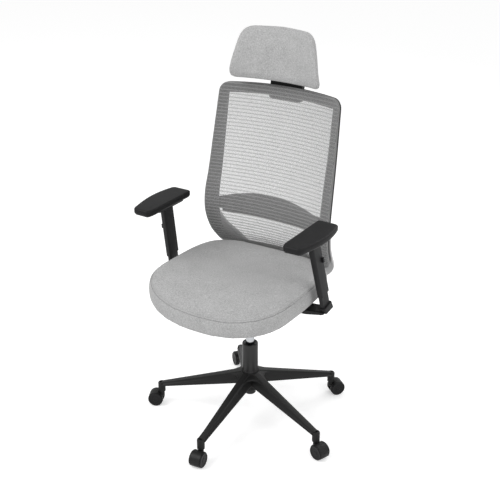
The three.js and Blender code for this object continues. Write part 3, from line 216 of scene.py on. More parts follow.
PLASTICS = [
    ("glass_filled_nylon_black", 0x151515, 0x1C1C1C, 0.46, 0.9, 0.09, 0.3),
    ("glass_filled_nylon_arm", 0x19191A, 0x202021, 0.46, 0.9, 0.08, 0.26),
    ("glass_filled_nylon_grey", 0xCACACA, 0xD6D6D6, 0.5, 0.9, 0.08),
    ("polyamide_wheel", 0x151516, 0x1B1B1C, 0.38, 2.5, 0.02, 0.25),
    ("polyurethane_integral_skin", 0x161617, 0x1D1D1E, 0.5, 1.1, 0.12, 0.2),
    ("polypropylene_column_cover", 0x161616, 0x1D1D1D, 0.28, 1.2, 0.02, 0.5),
]
nylon_black, nylon_arm, nylon_grey, nylon_wheel, foam_skin, column_cover = [
    moulded_plastic(*row) for row in PLASTICS
]
print("plastics:", len(bpy.data.materials))

# %% [markdown]
# ## Metals
# The gas cylinder is hard-chromed steel: almost a mirror, with faint rings left by grinding.
# The mechanism is pressed steel under black powder coat, whose orange-peel ripple is about
# 2 mm wide. The spring, the pins and the screws are oiled or blackened steel.

# %% Chrome, powder coat and bare steel
def metal(name, shade, roughness, ripple_mm, ripple_depth, metallic=1.0, streak=0.0):
    material, tree, place = new_material(name, shade)
    squeeze = add(tree, "ShaderNodeMapping", {"Vector": place, "Scale": (1, 1, 1 + streak)})
    ripple = noise(tree, squeeze, ripple_mm * MM, 2.0)
    surface = {
        "Base Color": colour(shade),
        "Metallic": metallic,
        "Roughness": remap(tree, ripple, To_Min=roughness * 0.8, To_Max=roughness * 1.25),
        "Normal": bumped(tree, ripple, 0.3, ripple_depth),
    }
    return close_material(material, surface)


hard_chrome = metal("hard_chromed_steel", 0xD6D8DB, 0.1, 3.0, 0.01, streak=14.0)
powder_coat = metal("powder_coated_steel", 0x232324, 0.45, 2.0, 0.12, metallic=0.0)
oiled_steel = metal("oiled_spring_steel", 0x6C6F73, 0.32, 1.5, 0.04)
black_screw = metal("black_oxide_screw", 0x2C2C2E, 0.38, 1.0, 0.02)
print("materials:", [m.name for m in bpy.data.materials])

# %% [markdown]
# ## Melange fabric
# The seat and the headrest are covered in a plain-woven melange cloth, spun from white and grey
# fibres, so the colour is a fine salt-and-pepper mix. The yarns are about 1.6 mm apart and raise
# a small bump at every crossing. Standing fibre ends catch the light, which is the sheen.

# %% Cloth
def melange_cloth(name, dark, light, yarn_mm, fleck_mm):
    material, tree, place = new_material(name, light)
    fleck = noise(tree, place, fleck_mm * MM, 5.0, Roughness=0.78)
    cloud = noise(tree, place, 0.05, 2.0)
    mixed = maths(tree, "MULTIPLY_ADD", cloud, 0.12, fleck)
    share = remap(tree, mixed, From_Min=0.36, From_Max=0.76)
    step = 2 * math.pi / (yarn_mm * MM)
    split = add(tree, "ShaderNodeSeparateXYZ", {"Vector": place})
    height = fleck
    for axis in "XYZ":
        turn = maths(tree, "MULTIPLY", split.outputs[axis], step)
        height = maths(tree, "ADD", maths(tree, "SINE", turn), height)
    surface = {
        "Base Color": tinted(tree, share, dark, light),
        "Roughness": 0.92,
        "Specular IOR Level": 0.25,
        "Sheen Weight": 0.25,
        "Sheen Roughness": 0.5,
        "Normal": bumped(tree, height, 0.5, 0.16),
    }
    return close_material(material, surface)


CLOTHS = [
    ("melange_polyester_cloth", 0x8B8B8B, 0xCACACA, 1.6, 3.4),
    ("knitted_net_yarn", 0x9A9A9A, 0xB4B4B4, 0.8, 2.0),
    ("woven_hem_tape", 0x6F6F6F, 0x8B8B8B, 1.0, 2.0),
    ("bonded_seam_thread", 0x7C7C7C, 0x959595, 0.6, 1.0),
    ("seam_piping", 0x6A6A6A, 0x7A7A7A, 0.6, 1.0),
]
melange, net_yarn, hem_tape, seam_thread, piping = [melange_cloth(*row) for row in CLOTHS]
print("cloths made")

# %% [markdown]
# ## Studio
# A white sweep with soft light from all round shows a black and grey chair best: an even
# fill, a large lamp above in front, one at the side and one behind that picks out the edges.
# What the camera sees of the floor is lifted to white, and the soft shadow stays.

# %% Floor and background
floor_mesh = bpy.data.meshes.new("floor")
corners = [(-14, -14, 0), (14, -14, 0), (14, 14, 0), (-14, 14, 0)]
floor_mesh.from_pydata(corners, [], [(0, 1, 2, 3)])
floor = new_piece("floor", floor_mesh)

floor_paint, tree, _ = new_material("matt_white_sweep", 0xF2F2F2)
paint = add(tree, "ShaderNodeBsdfDiffuse", {"Color": colour(0xF0F0F0)})
glow = add(tree, "ShaderNodeEmission", {"Color": (1, 1, 1, 1), "Strength": 0.42})
lifted = add(tree, "ShaderNodeAddShader", {0: paint, 1: glow})
ray = add(tree, "ShaderNodeLightPath")
seen = add(tree, "ShaderNodeMixShader", {"Fac": ray, 1: paint, 2: lifted})
add(tree, "ShaderNodeOutputMaterial", {"Surface": seen})
floor_mesh.materials.append(floor_paint)

world = bpy.data.worlds.new("white_studio")
world.use_nodes = True
bpy.context.scene.world = world
tree = world.node_tree
tree.nodes.clear()
strength = remap(tree, add(tree, "ShaderNodeLightPath"), To_Min=0.62, To_Max=1.0)
sky = add(tree, "ShaderNodeBackground", {"Color": (1, 1, 1, 1), "Strength": strength})
add(tree, "ShaderNodeOutputWorld", {"Surface": sky})
bpy.context.scene.view_settings.view_transform = "Standard"


# %% Lamps
def soft_lamp(name, place, aim, size, watts):
    data = bpy.data.lights.new(name, "AREA")
    lamp = new_piece(name, settle(data, shape="DISK", size=size, energy=watts))
    lamp.location = place
    lamp.rotation_euler = (Vector(aim) - Vector(place)).to_track_quat("-Z", "Y").to_euler()


chair_middle = (0, 0, 0.6)
soft_lamp("key_lamp", (-1.6, -2.4, 3.4), chair_middle, 2.4, 70)
soft_lamp("side_lamp", (2.6, -0.8, 2.2), chair_middle, 1.8, 22)
soft_lamp("back_lamp", (0.8, 3.0, 2.6), chair_middle, 2.2, 26)

# %% [markdown]
# ## Keeping the CAD's hard parts
# A CAD mesh is exact but its edges are razor sharp, and no real part has such edges. Each hard
# part is copied, its flat areas are cleaned up, and its edges get a small rounding. The copy
# stands for the node, so the shape stays the CAD's own.

# %% Copy a CAD node and round its edges
SMOOTH_BELOW = math.radians(32)


def finish_piece(piece, body, material, slot, *nodes):
    piece.data.materials.clear()
    piece.data.materials.append(material)
    if nodes:
        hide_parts(*nodes)
    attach(piece, body)
    return piece


def smooth(mesh, below=SMOOTH_BELOW):
    mesh.shade_smooth()
    mesh.set_sharp_from_angle(angle=below)


def merged_copy(node):
    mesh = bpy.data.meshes.new(node + "_copy")
    made = bmesh.new()
    made.from_mesh(frame["nodes"][node].data)
    bmesh.ops.remove_doubles(made, verts=made.verts, dist=0.02 * MM)
    flat = math.radians(1.2)
    bmesh.ops.dissolve_limit(made, angle_limit=flat, verts=made.verts, edges=made.edges)
    made.to_mesh(mesh)
    made.free()
    return mesh


def skin_mesh(name, points, faces, below, merge_mm=0):
    mesh = bpy.data.meshes.new(name)
    mesh.from_pydata(points, [], faces)
    made = bmesh.new()
    made.from_mesh(mesh)
    if merge_mm:
        bmesh.ops.remove_doubles(made, verts=made.verts, dist=merge_mm * MM)
    bmesh.ops.recalc_face_normals(made, faces=made.faces)
    made.to_mesh(mesh)
    made.free()
    smooth(mesh, below)
    return mesh


def evaluated_mesh(piece):
    """The mesh that the piece's modifiers make; the piece itself goes."""
    evaluated = piece.evaluated_get(bpy.context.evaluated_depsgraph_get())
    mesh = bpy.data.meshes.new_from_object(evaluated)
    bpy.data.objects.remove(piece)
    return mesh


def rounded(piece, width_mm):
    settle(
        piece.modifiers.new("edge_rounding", "BEVEL"),
        width=width_mm * MM,
        segments=2,
        limit_method="ANGLE",
        angle_limit=SMOOTH_BELOW,
        use_clamp_overlap=True,
        miter_outer="MITER_ARC",
    )


def kept(node, material, slot, width_mm):
    mesh = merged_copy(node)
    if node in RESHAPED:
        RESHAPED[node](mesh)
    piece = new_piece(node + "_shown", mesh)
    rounded(piece, width_mm)
    smooth(mesh)
    body = frame["nodes"][node]["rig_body"]
    return finish_piece(piece, body, material, slot, node)


# %% Small changes of form: a thicker sleeve, a slimmer bracket, a pan rim that is drawn in
def widen(mesh, by_mm):
    """Moves the walls of an upright tube outwards, each by half of `by_mm`."""
    for side in (0, 1):
        places = [v.co[side] for v in mesh.vertices]
        centre, half = (min(places) + max(places)) / 2, (max(places) - min(places)) / 2
        for v in mesh.vertices:
            v.co[side] = centre + (v.co[side] - centre) * (1 + by_mm * MM / 2 / half)


PAN_OFFSET, PAN_HALF_WIDE, PAN_HALF_LONG, PAN_POWER = 0.076, 0.242, 0.232, 2.6
RIM_FROM, RIM_IN_X, RIM_IN_Y = 0.75, 0.015, 0.045


def draw_in_rim(mesh):
    for v in mesh.vertices:
        x, y = v.co.x - AXIS.x, v.co.y - AXIS.y + PAN_OFFSET
        reach = abs(x / PAN_HALF_WIDE) ** PAN_POWER + abs(y / PAN_HALF_LONG) ** PAN_POWER
        share = clamp((reach ** (1 / PAN_POWER) - RIM_FROM) / (1 - RIM_FROM))
        v.co.x -= x * RIM_IN_X * share
        v.co.y -= y * RIM_IN_Y * share


BEND_FROM, BEND_LENGTH, BRACKET_TOP = 180, 85, 0.502


def raise_end(mesh):
    """The bracket's outer end curls up to the post, so its lower edge rises outwards."""
    for v in mesh.vertices:
        share = clamp((abs(v.co.x - AXIS.x) / MM - BEND_FROM) / BEND_LENGTH)
        v.co.z += share * 0.5 * max(BRACKET_TOP - v.co.z, 0)


RESHAPED = {
    "arm_bracket_left": raise_end,
    "arm_bracket_right": raise_end,
    "arm_sleeve_left": lambda mesh: widen(mesh, 3),
    "arm_sleeve_right": lambda mesh: widen(mesh, 3),
    "seat_pan": draw_in_rim,
}

# %% The moulded and pressed parts that keep their CAD shape
# Each row: material, slot, width of the rounding in mm by node; * stands for left and right.
KEPT = [
    (nylon_black, "nylon", {"star_base": 1.3}),
    (powder_coat, "black_steel", {"mechanism_housing": 0.8, "seat_plate": 0.5}),
    (nylon_black, "black_steel", {"lift_lever": 0.8, "tilt_lock_lever": 0.8}),
    (nylon_black, "nylon", {"tension_knob": 0.6}),
    (powder_coat, "black_steel", {"back_bar": 0.8}),
    (nylon_black, "nylon", {"seat_pan": 0.8, "headrest_mount": 0.8}),
    (nylon_black, "nylon", {"headrest_arm": 0.7, "headrest_shell": 0.6}),
    (nylon_arm, "nylon", {"arm_bracket_*": 2.4, "arm_upright_*": 0.6, "arm_sleeve_*": 0.9}),
    (foam_skin, "soft_black", {"arm_button_*": 0.8}),
    (oiled_steel, "spring_steel", {"tilt_spring": 0.2}),
    (oiled_steel, "chrome", {"thrust_bearing": 0.3}),
    (hard_chrome, "chrome", {"lift_rod": 0.3}),
    (oiled_steel, "chrome", {"seat_pivot_pin": 0.6, "back_pivot_pin": 0.6, "headrest_pin": 0.5}),
]
shown = []
for material, slot, widths in KEPT:
    for nodes, width_mm in widths.items():
        for hand in ("left", "right") if "*" in nodes else ("",):
            shown.append(kept(nodes.replace("*", hand), material, slot, width_mm))
for number in range(1, 6):
    kept(f"caster_hood_{number}", nylon_black, "nylon", 0.4)
    kept(f"caster_axle_{number}", oiled_steel, "chrome", 0.3)
print("kept parts:", len(shown) + 10)

# %% [markdown]
# ## Turned and round parts
# The column, the chromed cylinder and the wheels are profiles turned about an axis. CAD used
# few sides to stay light; here the same profiles are turned with many more, with the small
# steps, rounded rims and grooves that the real parts have.


# %% Turn a profile about an axis
def turn_profile(name, profile, centre, axis, sides):
    """profile: points (radius, height) in mm, drawn up along the axis."""
    turns = [2 * math.pi * i / sides for i in range(sides)]
    rows = []
    for radius, height in profile:
        far, up = radius * MM, height * MM
        ring = [Vector((far * math.cos(turn), far * math.sin(turn), up)) for turn in turns]
        rows.append(ring if radius else [Vector((0, 0, up))])
    points, starts, faces = [], [], []
    for row in rows:
        starts.append(len(points))
        points += row
    for k in range(len(rows) - 1):
        a, b = starts[k], starts[k + 1]
        for i in range(sides):
            j = (i + 1) % sides
            if len(rows[k]) == 1:
                faces.append((a, b + j, b + i))
            elif len(rows[k + 1]) == 1:
                faces.append((a + i, a + j, b))
            else:
                faces.append((a + i, a + j, b + j, b + i))
    stand = Vector(axis).to_track_quat("Z", "Y").to_matrix().to_4x4()
    placing = Matrix.Translation(Vector(centre)) @ stand
    placed = [placing @ point for point in points]
    return new_piece(name, skin_mesh(name, placed, faces, math.radians(34), 0.001))


# %% The column's cover, its bush, and the chromed cylinder
floor_under_lift = spot(0, 0, 0)
# Each row: piece, replaced node, body, material, slot, sides, profile.
TURNED = [
    ("column_cover", "column_tube", "base", column_cover, "nylon", 72, [
        (5.8, 88), (17.5, 88), (19, 90), (19, 103), (20.4, 104), (22.6, 169.9), (25.2, 169.9),
        (25.6, 170.4), (25.6, 176.6), (25.2, 177.6), (25.8, 178.2), (25.8, 179.4), (25.9, 186),
        (26, 199.8), (26, 274.0), (25.7, 276.0), (24.6, 277.4), (22.3, 278), (21.8, 277.8),
        (21.5, 277.2), (21.5, 199.8), (20.1, 169.9), (17.9, 104), (16.5, 103), (16.5, 94),
        (5.8, 94), (5.8, 88),
    ]),
    ("guide_bush_shown", "guide_bush", "base", column_cover, "soft_black", 64, [
        (14.4, 216.4), (14.8, 216), (20.8, 216), (21.2, 216.5), (21.2, 276.4), (20.9, 277.1),
        (20.2, 277.5), (19.2, 277.2), (16.2, 273.6), (14.9, 272.4), (14.4, 271.6), (14.4, 216.4),
    ]),
    ("chromed_cylinder", "gas_cylinder", "lift", hard_chrome, "chrome", 64, [
        (5.5, 214), (12.6, 214), (13.4, 214.3), (13.9, 215), (14, 216), (14, 408), (13.1, 451.6),
        (12.6, 452), (6.2, 452), (5.2, 452.6), (5, 453.4), (5, 461), (4.4, 461.8), (0, 462),
        (0, 345), (5.5, 345), (5.5, 214),
    ]),
]
for name, node, body, material, slot, sides, profile in TURNED:
    turned = turn_profile(name, profile, floor_under_lift, (0, 0, 1), sides)
    finish_piece(turned, body, material, slot, node)

# %% [markdown]
# ## Wheels
# A twin-wheel caster rolls on two hard discs of polyamide: a raised rim round a shallow face
# with a round cap over the axle. All ten are one turned shape, laid on the axle of its caster.

# %% Ten wheels
WHEEL = [
    (3.6, 6.1), (22.6, 6.1), (24.2, 6.6), (24.95, 7.9), (24.95, 15.2), (24.6, 16.2), (23.6, 16.9),
    (23.5, 17.4), (24.2, 17.8), (24.6, 18.4), (24.5, 19.4), (23.6, 20.5), (22.2, 21),
    (20.8, 20.9), (19.8, 20.2), (18.6, 19.9), (9.4, 20.3), (8.9, 20.3), (8.5, 19.9),
    (8.1, 20.3), (7.4, 20.9), (5.8, 21), (0, 21), (0, 18), (3.6, 18), (3.6, 6.1),
]
for number in range(1, 6):
    middle_of_caster = middle(f"caster_axle_{number}")
    for hand in ("left", "right"):
        node = f"caster_wheel_{hand}_{number}"
        away = (middle(node) - middle_of_caster).normalized()
        away.z = 0
        wheel = turn_profile(f"wheel_{hand}_{number}", WHEEL, middle_of_caster, away, 56)
        body = frame["nodes"][node]["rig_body"]
        finish_piece(wheel, body, nylon_wheel, "nylon", node)

# %% [markdown]
# ## The back's curved surface
# Frame, net, lumbar pad and yoke all follow one surface: an S curve seen from the side, hollow
# from side to side. Smooth curves join a few rows of height, depth at the sides and half
# width. `back_point` gives a place on it, moved rearwards off it by a depth.

# %% The profile rows, and a place on the surface
PROFILE = [
    (440, 161, 190), (485, 166, 198), (524, 161, 200), (562, 131.5, 209), (605, 102, 217.5),
    (667, 83, 224.5), (729, 85, 226), (812, 105, 222), (916, 127, 218),
    (1071, 158, 210.5), (1110, 165.5, 208.5),
]
SAG = 29
YOKE_BOTTOM, FRAME_BOTTOM, FRAME_CORNER, FRAME_ARCH = 444, 524, 1080, 7


def profile_at(height, key):
    above = [k for k, row in enumerate(PROFILE) if row[0] > height]
    i = max(above[0] - 1, 0) if above else len(PROFILE) - 2

    def slope(a, b):
        return (PROFILE[b][key] - PROFILE[a][key]) / (PROFILE[b][0] - PROFILE[a][0])

    low, high = PROFILE[i], PROFILE[i + 1]
    span = high[0] - low[0]
    t = (height - low[0]) / span
    m0 = slope(max(i - 1, 0), i + 1) * span
    m1 = slope(i, min(i + 2, len(PROFILE) - 1)) * span
    return (
        (2 * t**3 - 3 * t**2 + 1) * low[key] + (t**3 - 2 * t**2 + t) * m0
        + (3 * t**2 - 2 * t**3) * high[key] + (t**3 - t**2) * m1
    )


def back_point(x, z, depth):
    half = profile_at(z, 2)
    t = clamp((z - YOKE_BOTTOM) / (FRAME_BOTTOM - YOKE_BOTTOM))
    hollow = t * t * (3 - 2 * t)
    y = profile_at(z, 1) + SAG * hollow * (1 - (x / half) ** 2)
    slope = (profile_at(z + 2, 1) - profile_at(z - 2, 1)) / 4
    lean = math.hypot(1, slope)
    return spot(x, y + depth / lean, z - depth * slope / lean)


def arch_at(x):
    return FRAME_CORNER + FRAME_ARCH * (1 - (x / profile_at(FRAME_CORNER, 2)) ** 2)


print("half width at the lumbar:", round(profile_at(700, 2)), "mm")

# %% [markdown]
# ## Frame
# The frame is one moulded ring. Its outline has larger corners below than above, and the top
# bar is arched. The band is broadest beside the lumbar pad and slim in the bottom bar. A loft
# carries the section round the outline as rings of points, joined by faces.

# %% The frame's outline, all the way round
TOP_RADIUS, FOOT_RADIUS, DEPTH = 27, 34, 21
CORNER_STEPS, SIDE_PITCH = 10, 11


def frame_side():
    side = []
    turns = [math.pi / 2 * i / CORNER_STEPS for i in range(CORNER_STEPS + 1)]
    for turn in turns[:-1]:
        z = FRAME_BOTTOM + FOOT_RADIUS * (1 - math.cos(turn))
        side.append((profile_at(z, 2) - FOOT_RADIUS * (1 - math.sin(turn)), z))
    low, high = FRAME_BOTTOM + FOOT_RADIUS, FRAME_CORNER - TOP_RADIUS
    count = round((high - low) / SIDE_PITCH)
    for i in range(count + 1):
        z = mix(low, high, i / count)
        side.append((profile_at(z, 2), z))
    for turn in turns[1:]:
        x = profile_at(high, 2) - TOP_RADIUS * (1 - math.cos(turn))
        side.append((x, mix(high, arch_at(x), math.sin(turn))))
    return side


def frame_outline():
    side = frame_side()
    foot, top = side[0][0], side[-1][0]
    shares = [1 - k / 10 for k in range(1, 20)]
    bottom = [(-share * foot, FRAME_BOTTOM) for share in shares]
    over = [(share * top, arch_at(share * top)) for share in shares]
    return bottom + side + over + [(-x, z) for x, z in reversed(side)]


def drawn_in(places, distance):
    """The outline moved inwards, square to itself; `distance` may depend on the height."""
    moved = []
    for i, (x, z) in enumerate(places):
        ax, az = places[i - 1]
        bx, bz = places[(i + 1) % len(places)]
        length = math.hypot(bx - ax, bz - az)
        far = distance(z) if callable(distance) else distance
        moved.append((x - far * (bz - az) / length, z + far * (bx - ax) / length))
    return moved


OUTLINE = frame_outline()
print("outline points:", len(OUTLINE))


# %% Loft rings into a closed skin
def loft(name, rings, loop=False, below=SMOOTH_BELOW):
    count = len(rings[0])
    points = [p for ring in rings for p in ring]
    faces = []
    last = len(rings) if loop else len(rings) - 1
    for i in range(last):
        base, over = i * count, (i + 1) % len(rings) * count
        for j in range(count):
            k = (j + 1) % count
            faces.append((base + j, base + k, over + k, over + j))
    if not loop:
        faces.append(tuple(reversed(range(count))))
        faces.append(tuple(len(points) - count + j for j in range(count)))
    return new_piece(name, skin_mesh(name, points, faces, below))


def lofted(name, rings, body, material, slot, *nodes, **more):
    return finish_piece(loft(name, rings, **more), body, material, slot, *nodes)


# The section: (share of the band from the outer edge inwards, depth behind the front).
SECTION = [
    (1.0, 8), (0.98, 5), (0.93, 2.6), (0.84, 0.8), (0.72, 0), (0.4, 0), (0.12, 0), (0.05, 0.4),
    (0.01, 1.6), (0, 4), (0, 8.2), (-0.04, 8.8), (-0.07, 9.6), (-0.07, 14.6), (-0.05, 16.6),
    (0.02, 19.6), (0.12, 21), (0.42, 21), (0.9, 21), (0.97, 20.4), (1.0, 19), (1.0, 14),
]
# The width of the band, from its outer edge inwards, at some heights.
BANDS = [
    (524, 6), (534, 10), (590, 26), (655, 37), (730, 37), (1050, 23), (1082, 31), (1200, 31),
]


def band_at(z):
    for (low, a), (high, b) in zip(BANDS, BANDS[1:]):
        if z <= high:
            return mix(a, b, max(z - low, 0) / (high - low))
    return BANDS[-1][1]


inner = drawn_in(OUTLINE, band_at)


def carried_round(section):
    """The section at every place of the outline, from its outer to its inner edge."""
    return [
        [back_point(mix(x, ix, share), mix(z, iz, share), depth) for share, depth in section]
        for (x, z), (ix, iz) in zip(OUTLINE, inner)
    ]


black_nylon = nylon_black, "nylon"
frame_rings = carried_round(SECTION)
back_frame = lofted("back_frame_ring", frame_rings, "back", *black_nylon, "back_frame", loop=True)
print("frame faces:", len(back_frame.data.polygons))

# %% [markdown]
# ## Net
# The net is a knitted fabric stretched over the frame. Every 11 mm a dense rib of two yarns
# runs across it. Between the ribs a thin thread crosses upright yarns, with open holes that
# let air and light through, and a few close wires make the hem above the bottom bar. Every
# yarn is a wire over the surface, and a Geometry Nodes tree gives it its thickness.

# %% Wires on the surface
NET_DEPTH = -1.7
RIB_PITCH, RIB_STEP, YARN_PITCH = 11, 1.1, 3
ACROSS_STEP, UPRIGHT_STEP, NET_TALL, NET_GAP = 15, 12, 572, 0.6
HEM_LOW, HEM_HIGH, HEM_STEP = 541, 558, 2.2
SIDE = frame_side()


def half_at(z):
    """Half the width of the frame's outline at a height."""
    for (xa, za), (xb, zb) in zip(SIDE, SIDE[1:]):
        if za <= z <= zb:
            return mix(xa, xb, (z - za) / max(zb - za, 1e-9))
    return SIDE[-1][0]


def across(z):
    half = half_at(min(z, FRAME_CORNER)) - NET_GAP
    if z > FRAME_CORNER:
        width = profile_at(FRAME_CORNER, 2)
        half = min(half, width * math.sqrt(max(1 - (z - FRAME_CORNER) / FRAME_ARCH, 0)))
    count = max(round(2 * half / ACROSS_STEP), 4)
    return [back_point(mix(-half, half, i / count), z, NET_DEPTH) for i in range(count + 1)]


def upright(x):
    levels = [FRAME_BOTTOM + NET_GAP + k for k in range(NET_TALL)]
    levels = [z for z in levels if z < arch_at(x) - NET_GAP]
    levels = [z for z in levels if half_at(min(z, FRAME_CORNER)) > abs(x)]
    low, high = levels[0], levels[-1]
    count = max(round((high - low) / UPRIGHT_STEP), 2)
    return [back_point(x, mix(low, high, i / count), NET_DEPTH) for i in range(count + 1)]


def carrying(name, points, edges, label, kind, values):
    """Points, some joined by edges, that each carry a value for a tree to read."""
    mesh = bpy.data.meshes.new(name)
    mesh.from_pydata(points, edges, [])
    stored = mesh.attributes.new(label, kind, "POINT")
    stored.data.foreach_set("vector" if kind == "FLOAT_VECTOR" else "value", values)
    return mesh


def wire_mesh(name, groups):
    """groups: lists of polylines; each point carries the number of its group as `kind`."""
    points, edges, kinds = [], [], []
    for kind, lines in enumerate(groups):
        for line in lines:
            start = len(points)
            points += line
            kinds += [kind] * len(line)
            edges += [(start + i, start + i + 1) for i in range(len(line) - 1)]
    return carrying(name, points, edges, "kind", "INT", kinds)


foot, crest = FRAME_BOTTOM + 6, arch_at(0) - 5
rib_heights = [foot + RIB_PITCH * k for k in range(int((crest - foot) / RIB_PITCH) + 1)]
thread_heights = [
    z + RIB_PITCH * share for z in rib_heights for share in (0.38, 0.62) if z + RIB_PITCH < crest
]
widest = int(max(row[2] for row in PROFILE) / YARN_PITCH)
yarn_places = [YARN_PITCH * k for k in range(-widest, widest + 1)]
net_wires = wire_mesh(
    "net_wires",
    [
        [upright(x) for x in yarn_places],
        [across(z) for z in thread_heights],
        [across(z + RIB_STEP * k) for z in rib_heights for k in (-1, 1)]
        + [across(HEM_LOW + HEM_STEP * k) for k in range(int((HEM_HIGH - HEM_LOW) / HEM_STEP))],
    ],
)
print("ribs:", len(rib_heights), "threads:", len(thread_heights), "yarns:", len(yarn_places))


# %% A tree that turns wires into yarns
def new_tree(name, sizes):
    """sizes: the tree's inputs in metres, by label; geometry and a material go in as well."""
    tree = bpy.data.node_groups.new(name, "GeometryNodeTree")
    new_socket = tree.interface.new_socket
    new_socket("Geometry", in_out="INPUT", socket_type="NodeSocketGeometry")
    for label, value in sizes.items():
        size = new_socket(label, in_out="INPUT", socket_type="NodeSocketFloat")
        size.default_value = value
    new_socket("Material", in_out="INPUT", socket_type="NodeSocketMaterial")
    new_socket("Geometry", in_out="OUTPUT", socket_type="NodeSocketGeometry")
    return tree, add(tree, "NodeGroupInput")


def close_tree(tree, geometry, given):
    real = add(tree, "GeometryNodeRealizeInstances", {"Geometry": geometry})
    paint = {"Geometry": real, "Material": given.outputs["Material"]}
    add(tree, "NodeGroupOutput", {"Geometry": add(tree, "GeometryNodeSetMaterial", paint)})


def run_tree(name, mesh, tree, material, body, slot, sizes=None, below=80):
    """Runs a tree on a mesh; the plain mesh it makes is a new piece that rides on a body."""
    carrier = new_piece(name + "_carrier", mesh)
    modifier = carrier.modifiers.new("maker", "NODES")
    modifier.node_group = tree
    named = {item.name: item.identifier for item in tree.interface.items_tree}
    for label, value in {"Material": material, **(sizes or {})}.items():
        modifier[named[label]] = value
    carrier.update_tag()
    made = evaluated_mesh(carrier)
    made.name = name
    smooth(made, math.radians(below))
    return finish_piece(new_piece(name, made), body, material, slot)


YARN_SIZES = {"Yarn Radius": 0.0008, "Thread Radius": 0.0003, "Rib Radius": 0.0007}
yarn_tree, given = new_tree("wires_to_yarns", YARN_SIZES)
stored = add(yarn_tree, "GeometryNodeInputNamedAttribute", {"Name": "kind"}, data_type="INT")
tubes = []
for number, (label, sides) in enumerate(zip(YARN_SIZES, (4, 3, 4))):
    pair = {2: stored, 3: number}
    mine = add(yarn_tree, "FunctionNodeCompare", pair, data_type="INT", operation="EQUAL")
    line = add(yarn_tree, "GeometryNodeMeshToCurve", {"Mesh": given, "Selection": mine})
    ring = {"Resolution": sides, "Radius": given.outputs[label]}
    ring = add(yarn_tree, "GeometryNodeCurvePrimitiveCircle", ring)
    sweep = {"Curve": line, "Profile Curve": ring, "Fill Caps": True}
    tubes.append(add(yarn_tree, "GeometryNodeCurveToMesh", sweep))
gathered = add(yarn_tree, "GeometryNodeJoinGeometry")
for tube in tubes:
    yarn_tree.links.new(tube.outputs[0], gathered.inputs[0])
close_tree(yarn_tree, gathered, given)
print("tree nodes:", len(yarn_tree.nodes))

net = run_tree("back_net", net_wires, yarn_tree, net_yarn, "back", "back_mesh", YARN_SIZES)
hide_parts("back_mesh")
print("net faces:", len(net.data.polygons))

# %% [markdown]
# The net's edge is turned round the frame into a groove on its outer side. A woven tape is sewn
# to it there and shows from the front as a thin lighter line.

# %% The tape round the frame's edge
TAPE = [
    (0.03, -1.9), (-0.015, -1.2), (-0.04, 0.4), (-0.045, 3), (-0.045, 7.6), (-0.012, 7.6),
    (-0.008, 3), (0.0, 0.2), (0.03, -0.9),
]
tape_rings = carried_round(TAPE)
ways = {"loop": True, "below": math.radians(60)}
tape = lofted("net_edge_tape", tape_rings, "back", hem_tape, "back_mesh", **ways)
print("tape faces:", len(tape.data.polygons))

# %% [markdown]
# ## Lumbar pad
# Behind the net a stiff crescent slides up and down and pushes the net forward. It is tall in
# the middle, and each end steps back into a tab that runs in the frame.

# %% The crescent
LUMBAR_FOOT, END_HEIGHT, MID_HEIGHT, LUMBAR_HALF, TAB = 670, 50, 80, 190, 22


def lumbar_station(x):
    """(depth of the step back, share of the height) at a distance from the middle."""
    reach = abs(x)
    step = clamp((reach - (LUMBAR_HALF - 25)) / 18)
    step = step * step * (3 - 2 * step)
    return step * DEPTH, mix(1, 0.95, step)


lumbar_rings = []
reach = LUMBAR_HALF + TAB
for i in range(61):
    x = mix(-reach, reach, i / 60)
    back, share = lumbar_station(x)
    swell = max(1 - (x / LUMBAR_HALF) ** 2, 0)
    height = mix(END_HEIGHT, MID_HEIGHT, swell) * share
    low = LUMBAR_FOOT + END_HEIGHT * (1 - share) / 2 - 4 * min((x / LUMBAR_HALF) ** 2, 1)
    near = 3 + back
    thick = 8 * mix(0.6, 1, (share - 0.95) / 0.05)
    section = [
        (0, 2.8), (0.02, 1.6), (0.06, 0.8), (0.2, 0.2), (0.5, 0), (0.8, 0.2), (0.94, 0.8),
        (0.98, 1.6), (1, 2.8), (1, thick - 1), (0.98, thick), (0.94, thick), (0.9, thick - 2.4),
        (0.1, thick - 2.4), (0.06, thick), (0.02, thick), (0, thick - 1),
    ]
    lumbar_rings.append([back_point(x, low + height * s, near + d) for s, d in section])
lumbar = lofted("lumbar_crescent", lumbar_rings, "lumbar", *black_nylon, "lumbar_pad")
print("lumbar faces:", len(lumbar.data.polygons))

# %% [markdown]
# ## Yoke
# A light grey U carries the frame from behind. Its arms lie behind the lower sides and sweep
# down and inwards to a flat in the middle, where the steel bar is bolted on.

# %% The grey U
YOKE_TOP, YOKE_SHOULDER, YOKE_BAND, YOKE_TIP_BAND = 650, 545, 54, 30
path = []
shoulder = profile_at(YOKE_SHOULDER, 2)
for i in range(37):
    turn = math.pi / 2 * i / 36
    x = shoulder * math.sin(turn) ** 0.9
    z = mix(YOKE_SHOULDER, YOKE_BOTTOM, math.cos(turn) ** 0.9)
    path.append((min(x, profile_at(z, 2)), z, YOKE_BAND))
for i in range(1, 15):
    z = mix(YOKE_SHOULDER, YOKE_TOP, i / 14)
    path.append((profile_at(z, 2), z, mix(YOKE_BAND, YOKE_TIP_BAND, i / 14)))
path = [(-x, z, band) for x, z, band in reversed(path[1:])] + path
near = DEPTH + 1.8
yoke_section = [
    (0.05, near), (0.5, near), (0.97, near), (1, near + 1.2), (1, near + 7.5),
    (0.97, near + 9.6), (0.9, near + 11.8), (0.8, near + 12.9), (0.5, near + 13),
    (0.2, near + 12.9), (0.1, near + 11.8), (0.02, near + 9.4), (0, near + 7), (0, near + 1.2),
]
yoke_rings = []
